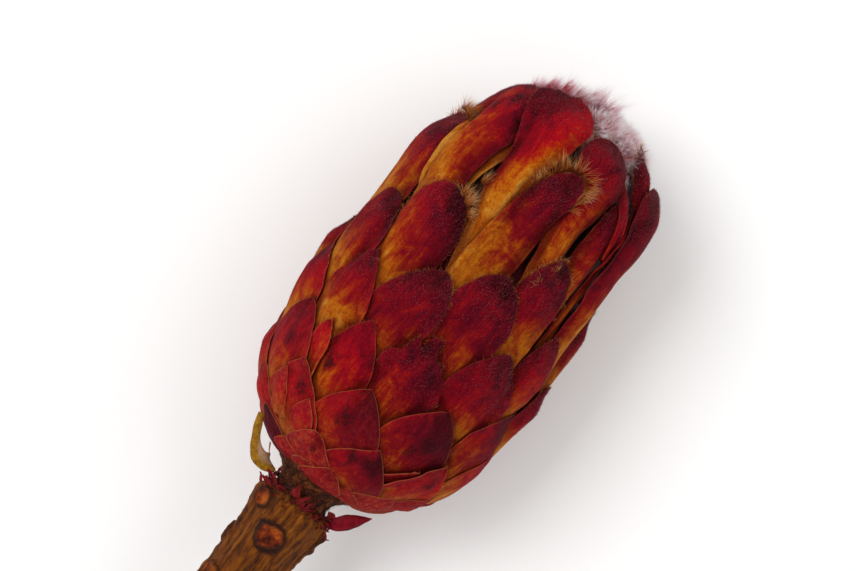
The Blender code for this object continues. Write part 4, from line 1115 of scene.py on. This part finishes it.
# Patterns of the bark: how many to the millimetre, detail and roughness.
barkPatterns = {"furrow": (1.1, 3.0, 0.5), "grain": (3.2, 6.0, 0.7), "blotch": (0.35, 5.0, 0.65),
                "fine": (2.4, 5.0, 0.75)}
barkColors = {
    "bark": ((0.34, "#160803"), (0.43, "#3c1a05"), (0.52, "#723803"), (0.62, "#945605"), (0.74, "#ac741c")),
    "tone": ((0.38, "#2e1206"), (0.6, "#84460a")),
    "crust": ((0.36, "#300b04"), (0.48, "#6e2406"), (0.6, "#a0460a"), (0.7, "#b8661a")),
    "felt": ((0.36, "#1c0804"), (0.52, "#3e1406"), (0.64, "#6a300e"), (0.74, "#8f5a2c")),
    "cutWood": ((0.2, "#7e5a30"), (0.7, "#b08a55")),
}


def stemMaterial():
    # dry ochre brown bark with long dark furrows, orange crusty scars, brown felt on the cone, pale cut wood
    material, shader, add = newMaterial("dry ridged bark", {
        "IOR": 1.45, "Specular IOR Level": 0.2, "Roughness": 0.8})
    scarred, rim, felted, wood = (
        add("ShaderNodeAttribute", output="Fac", attribute_name=key)
        for key in ("scar", "rim", "wool", "wood"))
    spot = add("ShaderNodeAttribute", output="Vector", attribute_name="barkPlace")
    along = add("ShaderNodeMapping", {"Vector": spot, "Scale": (1.0, 0.07, 1.0)})
    furrow, grain, blotch, fine = (
        add("ShaderNodeTexNoise", {"Vector": where, "Scale": scale, "Detail": detail, "Roughness": roughness})
        for where, (scale, detail, roughness) in zip((along, along, spot, spot), barkPatterns.values()))
    mixed = add("ShaderNodeMath", {0: furrow, 1: grain}, operation="ADD")
    mixed = add("ShaderNodeMath", {0: mixed, 1: 0.5}, operation="MULTIPLY")
    rings = add("ShaderNodeTexWave", {"Vector": spot, "Scale": 0.5, "Distortion": 1.5, "Detail": 2.0},
                wave_type="RINGS", rings_direction="Y")  # year rings on the cut
    bark, tone, crust, felt, pale = (
        add("ShaderNodeValToRGB", {"Fac": pattern}, stops=stops)
        for pattern, stops in zip((mixed, blotch, blotch, fine, rings), barkColors.values()))
    color = bark
    for share, tint in (
        (0.3, tone), (scarred, crust), (rim, "#250d08"), (felted, felt), (wood, pale),
    ):
        color = add("ShaderNodeMix", {0: share, 6: color, 7: tint}, 2, data_type="RGBA")
    height = add("ShaderNodeMath", {0: grain, 1: fine}, operation="ADD")
    bump = add("ShaderNodeBump", {"Height": height, "Strength": 0.9, "Distance": 0.4 * mm})
    feedShader(shader, {"Base Color": color, "Normal": bump})
    return material


barkLook = stemMaterial()
stemBark = applyTree(makeStem(barkLook), reliefTree("bark relief", "barkPlace", "calm", barkRelief, barkLook),
                     barkRelief)

# Small scales on the cone and torn scraps on the knob: one blade, set round the stem by the golden turn.
coneScales = {"count": 64, "goldenTurn": math.radians(head["goldenTurn"]), "firstHeight": -5.0 * mm,
              "lastHeight": 0.2 * mm, "radius": 5.9 * mm, "flare": stem["coneFlare"] / mm,
              "narrowest": stem["coneNarrowest"] * mm, "tilt": 0.12, "uneven": 0.2, "least": 0.6, "most": 1.1,
              "seed": 3}
tornScraps = {"count": 80, "goldenTurn": math.radians(head["goldenTurn"]), "firstHeight": -8.6 * mm,
              "lastHeight": -4.2 * mm, "radius": 7.3 * mm, "flare": 0.0, "narrowest": 0.0, "tilt": 0.35,
              "uneven": 1.0, "least": 0.4, "most": 1.0, "seed": 8}
scaleBlade = {"length": 3.4, "width": 3.0, "point": 1.1, "thickness": 0.2, "cup": 0.5, "ragged": 0.12,
              "curl": 0.15}
scrapBlade = {"length": 2.6, "width": 1.5, "point": 0.6, "thickness": 0.16, "cup": 0.4, "ragged": 0.7,
              "curl": 0.7}


def bladeMesh(name, blade, material, rows=9, columns=7):
    # one small cupped blade: v from its root to its tip, u across it
    v, u = np.meshgrid(np.linspace(0, 1, rows), np.linspace(-1, 1, columns), indexing="ij")
    half = 0.5 * blade["width"] * (np.abs(np.sin(math.pi * (0.35 + 0.65 * v))) ** blade["point"] + 0.02)
    torn = blade["ragged"] * noiseAt(1.9 * u, 2.3 * v, blade["length"])
    x, y = u * half * (1 + torn), blade["length"] * v * (1 + torn * v)
    z = blade["curl"] * v**2 - blade["cup"] * u**2 + 0.4 * torn
    thick = blade["thickness"] * (1 - 0.6 * u**2)
    points = [mm * np.stack([x, y, z + sign * thick], -1).reshape(-1, 3) for sign in (0.5, -0.5)]
    marks = {"bladeMargin": np.tile(((1 - np.abs(u)) * half).ravel(), 2), "bladeShare": np.tile(v.ravel(), 2)}
    faces = [face[::-1] for face in bladeFaces(rows, columns, 0)]
    return makeObject(name, np.concatenate(points), faces, material, marks)


def spiralTree(name, sizes, material):
    # sets the given blade round the axis at the golden turn, on a radius that flares with height
    tree, add, given = newTree(name, sizes)
    number = add("GeometryNodeInputIndex")
    last = add("ShaderNodeMath", {0: given["count"], 1: 1.0}, operation="SUBTRACT")
    turn = add("ShaderNodeMath", {0: number, 1: given["goldenTurn"]}, operation="MULTIPLY")
    height = add("ShaderNodeMapRange", {"Value": number, 1: 0.0, 2: last, 3: given["firstHeight"],
                                        4: given["lastHeight"]})
    over = add("ShaderNodeMath", {0: height, 1: given["narrowest"]}, operation="SUBTRACT")
    slope = add("ShaderNodeMath", {0: over, 1: given["flare"]}, operation="MULTIPLY")
    radius = add("ShaderNodeMath", {0: slope, 1: over, 2: given["radius"]}, operation="MULTIPLY_ADD")
    sine, cosine = (add("ShaderNodeMath", {0: turn}, operation=kind) for kind in ("SINE", "COSINE"))
    outward = add("ShaderNodeCombineXYZ", {"X": sine, "Y": 0.0, "Z": cosine})
    x, z = (add("ShaderNodeMath", {0: radius, 1: part}, operation="MULTIPLY") for part in (sine, cosine))
    y = add("ShaderNodeMath", {0: height, 1: mm * head["originHeight"]}, operation="SUBTRACT")
    z = add("ShaderNodeMath", {0: z, 1: mm * head["axisHeight"]}, operation="ADD")
    points = add("GeometryNodePoints", {"Count": given["count"], "Position": add(
        "ShaderNodeCombineXYZ", {"X": x, "Y": y, "Z": z})})
    shade = add("FunctionNodeRandomValue", {2: 0.0, 3: 1.0, "Seed": given["seed"]}, 1, data_type="FLOAT")
    points = add("GeometryNodeStoreNamedAttribute", {
        "Geometry": points, "Name": "bladeShade", "Value": shade}, data_type="FLOAT")
    lean = add("ShaderNodeMath", {0: slope, 1: 2.0, 2: given["tilt"]}, operation="MULTIPLY_ADD")
    rising = add("ShaderNodeVectorMath", {0: outward, "Scale": lean}, operation="SCALE")
    stray = add("FunctionNodeRandomValue", {0: (-1, -1, -1), 1: (1, 1, 1), "Seed": given["seed"]},
                data_type="FLOAT_VECTOR")
    stray = add("ShaderNodeVectorMath", {0: stray, "Scale": given["uneven"]}, operation="SCALE")
    rising = add("ShaderNodeVectorMath", {0: rising, 1: (0.0, 1.0, 0.0)}, operation="ADD")
    rising = add("ShaderNodeVectorMath", {0: rising, 1: stray}, operation="ADD")
    lengthwise = add("FunctionNodeAlignRotationToVector", {"Vector": rising}, axis="Y")
    facing = add("FunctionNodeAlignRotationToVector", {"Rotation": lengthwise, "Vector": outward}, axis="Z",
                 pivot_axis="Y")
    size = add("FunctionNodeRandomValue", {2: given["least"], 3: given["most"], "Seed": given["seed"]}, 1,
               data_type="FLOAT")
    placed = add("GeometryNodeInstanceOnPoints", {
        "Points": points, "Instance": given["Geometry"], "Rotation": facing, "Scale": size})
    real = add("GeometryNodeRealizeInstances", {0: placed})
    add("NodeGroupOutput", {0: add("GeometryNodeSetMaterial", {"Geometry": real, "Material": material})})
    return tree


def scaleMaterial(name, dark, middle, edge):
    # papery dead scale: brown or crimson with dark specks and a thin lighter edge
    material, shader, add = newMaterial(name, {"Roughness": 0.75, "IOR": 1.45, "Specular IOR Level": 0.2})
    margin, share, shade = (add("ShaderNodeAttribute", output="Fac", attribute_name=key)
                            for key in ("bladeMargin", "bladeShare", "bladeShade"))
    spot = add("ShaderNodeTexCoord", output="Object")
    grain = add("ShaderNodeTexNoise", {"Vector": spot, "Scale": 1300.0, "Detail": 4.0, "Roughness": 0.7})
    where = add("ShaderNodeMath", {0: shade, 1: 0.3, 2: grain}, operation="MULTIPLY_ADD")
    where = add("ShaderNodeMath", {0: share, 1: 0.12, 2: where}, operation="MULTIPLY_ADD")
    color = add("ShaderNodeValToRGB", {"Fac": where}, stops=((0.5, dark), (0.78, middle), (1.0, edge)))
    rim = add("ShaderNodeMapRange", {"Value": margin, 1: 0.0, 2: 0.3, 3: 0.6, 4: 0.0})
    color = add("ShaderNodeMix", {0: rim, 6: color, 7: edge}, 2, data_type="RGBA")
    bump = add("ShaderNodeBump", {"Height": grain, "Strength": 0.6, "Distance": 0.15 * mm})
    feedShader(shader, {"Base Color": color, "Normal": bump})
    return material


def makeSpiral(name, blade, sizes, material):
    return applyTree(bladeMesh(name, blade, material), spiralTree(name, sizes, material), sizes)


stemScales = makeSpiral("stem_scales", scaleBlade, coneScales,
                        scaleMaterial("brown cone scale", "#1c0804", "#481804", "#7c4414"))
stemScraps = makeSpiral("stem_scraps", scrapBlade, tornScraps,
                        scaleMaterial("torn red leaf stub", "#1e0405", "#50060c", "#80140e"))

wool = {"density": 0.7e7, "rootWidth": 0.03 * mm, "segments": 1, "spread": 1.0, "clumping": 1.6,
        "clumpSize": 1.2 * mm, "bend": 0.3 * mm, "seed": 17}
woolReach = {"from": -4.6, "to": 1.6, "length": 0.9, "rings": 12, "sides": 60}


def makeWool(material):
    heights = np.linspace(woolReach["from"], woolReach["to"], woolReach["rings"])
    turns = np.linspace(0, 2 * math.pi, woolReach["sides"], endpoint=False)
    h, t = np.meshgrid(heights, turns, indexing="ij")
    points = place(h, coneRadius(h), t).reshape(-1, 3)
    outward = np.stack([np.sin(t), 0.5 + 0 * t, np.cos(t)], -1).reshape(-1, 3)
    marks = {"hairAmount": [np.ones(len(points))], "hairDirection": [outward],
             "hairLength": [np.full(len(points), mm * woolReach["length"])],
             "hairTint": [np.zeros(len(points))]}
    faces = turnedFaces(woolReach["rings"], woolReach["sides"])[1:-1]
    return growHair("stem_wool", [points], faces, marks, wool, material)


stemWool = makeWool(hairMaterial("brown neck wool", "#2a0e06", "#5a3018", "#987048"))


# The two small leaves at the neck

smallLeaves = {
    "dry_leaf": {
        "line": ((-16.2, 4.4, 3.6), (-15.6, 2.4, 3.5), (-14.6, 0.2, 3.4), (-13.4, -2.0, 3.2),
                 (-11.8, -3.6, 3.0), (-9.6, -4.1, 2.8), (-7.2, -3.4, 2.6)),
        "outerHalf": (0.8, 0.9, 0.9, 0.9, 0.9, 0.7, 0.3), "innerHalf": (0.6, 0.9, 1.0, 1.8, 3.0, 2.6, 0.5),
        "facing": (-0.4, 0.0, 1.0), "tones": ("#5c3a08", "#8a5e0c", "#a2761c"),
        "skin": "#a07c62", "skinAmount": 1.0, "rim": "#8e3c0a",
    },
    "red_leaf": {
        "line": ((7.6, -6.2, 1.6), (8.8, -5.0, 2.2), (10.2, -3.3, 2.5), (11.8, -1.6, 2.4), (13.2, -0.2, 2.0),
                 (14.0, 0.7, 1.7)),
        "outerHalf": (0.2, 1.2, 1.7, 1.3, 0.6, 0.05), "innerHalf": (0.2, 1.3, 1.7, 1.3, 0.6, 0.05),
        "facing": (0.2, -0.2, 1.0), "tones": ("#4c020a", "#700416", "#86081a"),
        "skin": "#660414", "skinAmount": 0.3, "rim": "#48020c",
    },
}
leafBlade = {"steps": 8, "columns": 13, "uneven": 0.08, "crown": 0.125, "thickness": 0.14,
             "skinFrom": (0.7, 1.3), "rimFrom": (0.75, 1.0), "rimAlong": (0.3, 0.7)}
leafFibre = {"line": ((-11.4, 0.8, 3.4), (-10.6, -0.6, 3.6), (-9.8, -1.7, 3.5), (-9.0, -2.6, 3.2)),
             "radius": 0.16, "sides": 6, "steps": 6}


def leafMaterial(name, spec):
    # small dried leaf: papery, with a duller thin skin on its inner side and a dark or rusty rim
    material, shader, add = newMaterial("dried " + name.replace("_", " "), {
        "Roughness": 0.55, "IOR": 1.45, "Specular IOR Level": 0.1})
    side, edge = (
        add("ShaderNodeAttribute", output="Fac", attribute_name=key) for key in ("leafSide", "leafEdge"))
    spot = add("ShaderNodeTexCoord", output="Object")
    grain = add("ShaderNodeTexNoise", {"Vector": spot, "Scale": 900.0, "Detail": 5.0, "Roughness": 0.7})
    color = add("ShaderNodeValToRGB", {"Fac": grain}, stops=tuple(zip((0.35, 0.52, 0.7), spec["tones"])))
    for share, tint in ((side, spec["skin"]), (edge, spec["rim"])):
        color = add("ShaderNodeMix", {0: share, 6: color, 7: tint}, 2, data_type="RGBA")
    bump = add("ShaderNodeBump", {"Height": grain, "Strength": 0.4, "Distance": 0.1 * mm})
    feedShader(shader, {"Base Color": color, "Normal": bump})
    return material


def makeLeaf(name, spec):
    # a thin blade that follows its middle line, one row of faces for each step
    middle = smoothLine(spec["line"], leafBlade["steps"])
    outerHalf, innerHalf = (
        smoothLine([(w, 0.0) for w in spec[key]], leafBlade["steps"])[:, :1]
        for key in ("outerHalf", "innerHalf"))
    runs = np.gradient(middle, axis=0)
    runs /= np.linalg.norm(runs, axis=1)[:, None]
    side = np.cross(runs, np.array(spec["facing"]))
    side /= np.linalg.norm(side, axis=1)[:, None]
    normal = np.cross(side, runs)[:, None]
    share = np.linspace(0, 1, len(middle))[:, None]
    across = np.linspace(-1, 1, leafBlade["columns"])[None, :]
    reach = np.where(across < 0, np.abs(innerHalf), np.abs(outerHalf)) * across
    reach = reach + leafBlade["uneven"] * noiseAt(3 * across, 7 * share, 1.0)
    lift = leafBlade["crown"] * (np.abs(innerHalf) + np.abs(outerHalf)) * (0.4 - across**2)
    centre = middle[:, None] + side[:, None] * reach[..., None] + normal * lift[..., None]
    thick = leafBlade["thickness"] * (1.2 - across**2)[..., None]
    points = np.concatenate([fromAxis(centre + sign * normal * thick).reshape(-1, 3) for sign in (1, -1)])
    leafSide = ease(-reach, *leafBlade["skinFrom"]) * spec["skinAmount"]
    leafEdge = ease(np.abs(across), *leafBlade["rimFrom"]) * ease(share, *leafBlade["rimAlong"])
    marks = {"leafSide": np.tile(leafSide.ravel(), 2), "leafEdge": np.tile(leafEdge.ravel(), 2)}
    faces = bladeFaces(len(middle), leafBlade["columns"], 0)
    return makeObject(name + "_look", points, faces, leafMaterial(name, spec), marks)


def makeFibre(material):
    # a loose thread of the dry leaf
    line = smoothLine(leafFibre["line"], leafFibre["steps"])
    turns = np.linspace(0, 2 * math.pi, leafFibre["sides"], endpoint=False)
    ring = np.stack([np.cos(turns), 0 * turns, np.sin(turns)], -1)
    rings = [fromAxis(middle + leafFibre["radius"] * (1.2 - share) * ring)
             for share, middle in zip(np.linspace(0, 1, len(line)), line)]
    zeros = np.zeros(len(rings) * leafFibre["sides"])
    return makeObject("dry_leaf_fibre", np.concatenate(rings), turnedFaces(len(rings), leafFibre["sides"]),
                      material, {"leafSide": zeros, "leafEdge": zeros})


leaves = {name: makeLeaf(name, spec) for name, spec in smallLeaves.items()}
fibre = makeFibre(leaves["dry_leaf"].data.materials[0])
print("stem and leaves ready")


# What rides where

rides = {
    "bracts": (scaleBracts, longBracts, bractFringe, bractDown), "florets": (floretMass, floretHair),
    "stem": (stemBark, stemScales, stemScraps, stemWool), "dry_leaf": (leaves["dry_leaf"], fibre),
    "red_leaf": (leaves["red_leaf"],),
}
for node, pieces in rides.items():
    for piece in pieces:
        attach(piece, "root")
        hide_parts(node)


# Table, light and camera

studio = {
    "lens": 115.65, "sensor": 36.0, "centre": (-5.2, 44.5), "turn": 37.17,
    "distance": 0.55, "tableReach": 3.0,  # metres
    "table": "#f8f7f6", "world": 0.72,
    # right, up and height in the picture's own directions, in metres, then size and power
    "lamps": {"key": (-1.25, 1.0, 2.5, 1.5, 42.0), "rim": (1.6, 0.2, 1.8, 1.2, 8.0)},
    "lampAim": 0.02,
}


def makeStudio():
    scene = bpy.context.scene
    scene.view_settings.view_transform = "Standard"
    camera = bpy.data.cameras.new("camera")
    camera.lens = studio["lens"]
    camera.sensor_width = studio["sensor"]
    eye = bpy.data.objects.new("camera", camera)
    eye.location = (mm * studio["centre"][0], mm * (studio["centre"][1] - head["originHeight"]),
                    mm * head["axisHeight"] + studio["distance"])
    eye.rotation_euler = (0, 0, math.radians(studio["turn"]))
    scene.collection.objects.link(eye)
    scene.camera = eye

    material, _, _ = newMaterial("pale matt table", {
        "Roughness": 0.9, "Base Color": linearColor(studio["table"])})
    reach = studio["tableReach"]
    corners = [(-reach, -reach, 0), (reach, -reach, 0), (reach, reach, 0), (-reach, reach, 0)]
    makeObject("table", corners, [[0, 1, 2, 3]], material)

    world = bpy.data.worlds.new("studio")
    scene.world = world
    world.use_nodes = True
    background = world.node_tree.nodes["Background"]
    background.inputs["Color"].default_value = linearColor("#ffffff")
    background.inputs["Strength"].default_value = studio["world"]

    turn = math.radians(studio["turn"])
    rightward = Vector((math.cos(turn), math.sin(turn), 0))
    upward = Vector((-math.sin(turn), math.cos(turn), 0))
    for name, (right, up, height, size, power) in studio["lamps"].items():
        light = bpy.data.lights.new(name, "AREA")
        light.energy = power
        light.size = size
        lamp = bpy.data.objects.new(name, light)
        lamp.location = right * rightward + up * upward + Vector((0, 0, height))
        aim = Vector((0, 0, studio["lampAim"])) - lamp.location
        lamp.rotation_euler = aim.to_track_quat("-Z", "Y").to_euler()
        scene.collection.objects.link(lamp)


makeStudio()
print("studio ready")

bpy.context.view_layer.update()
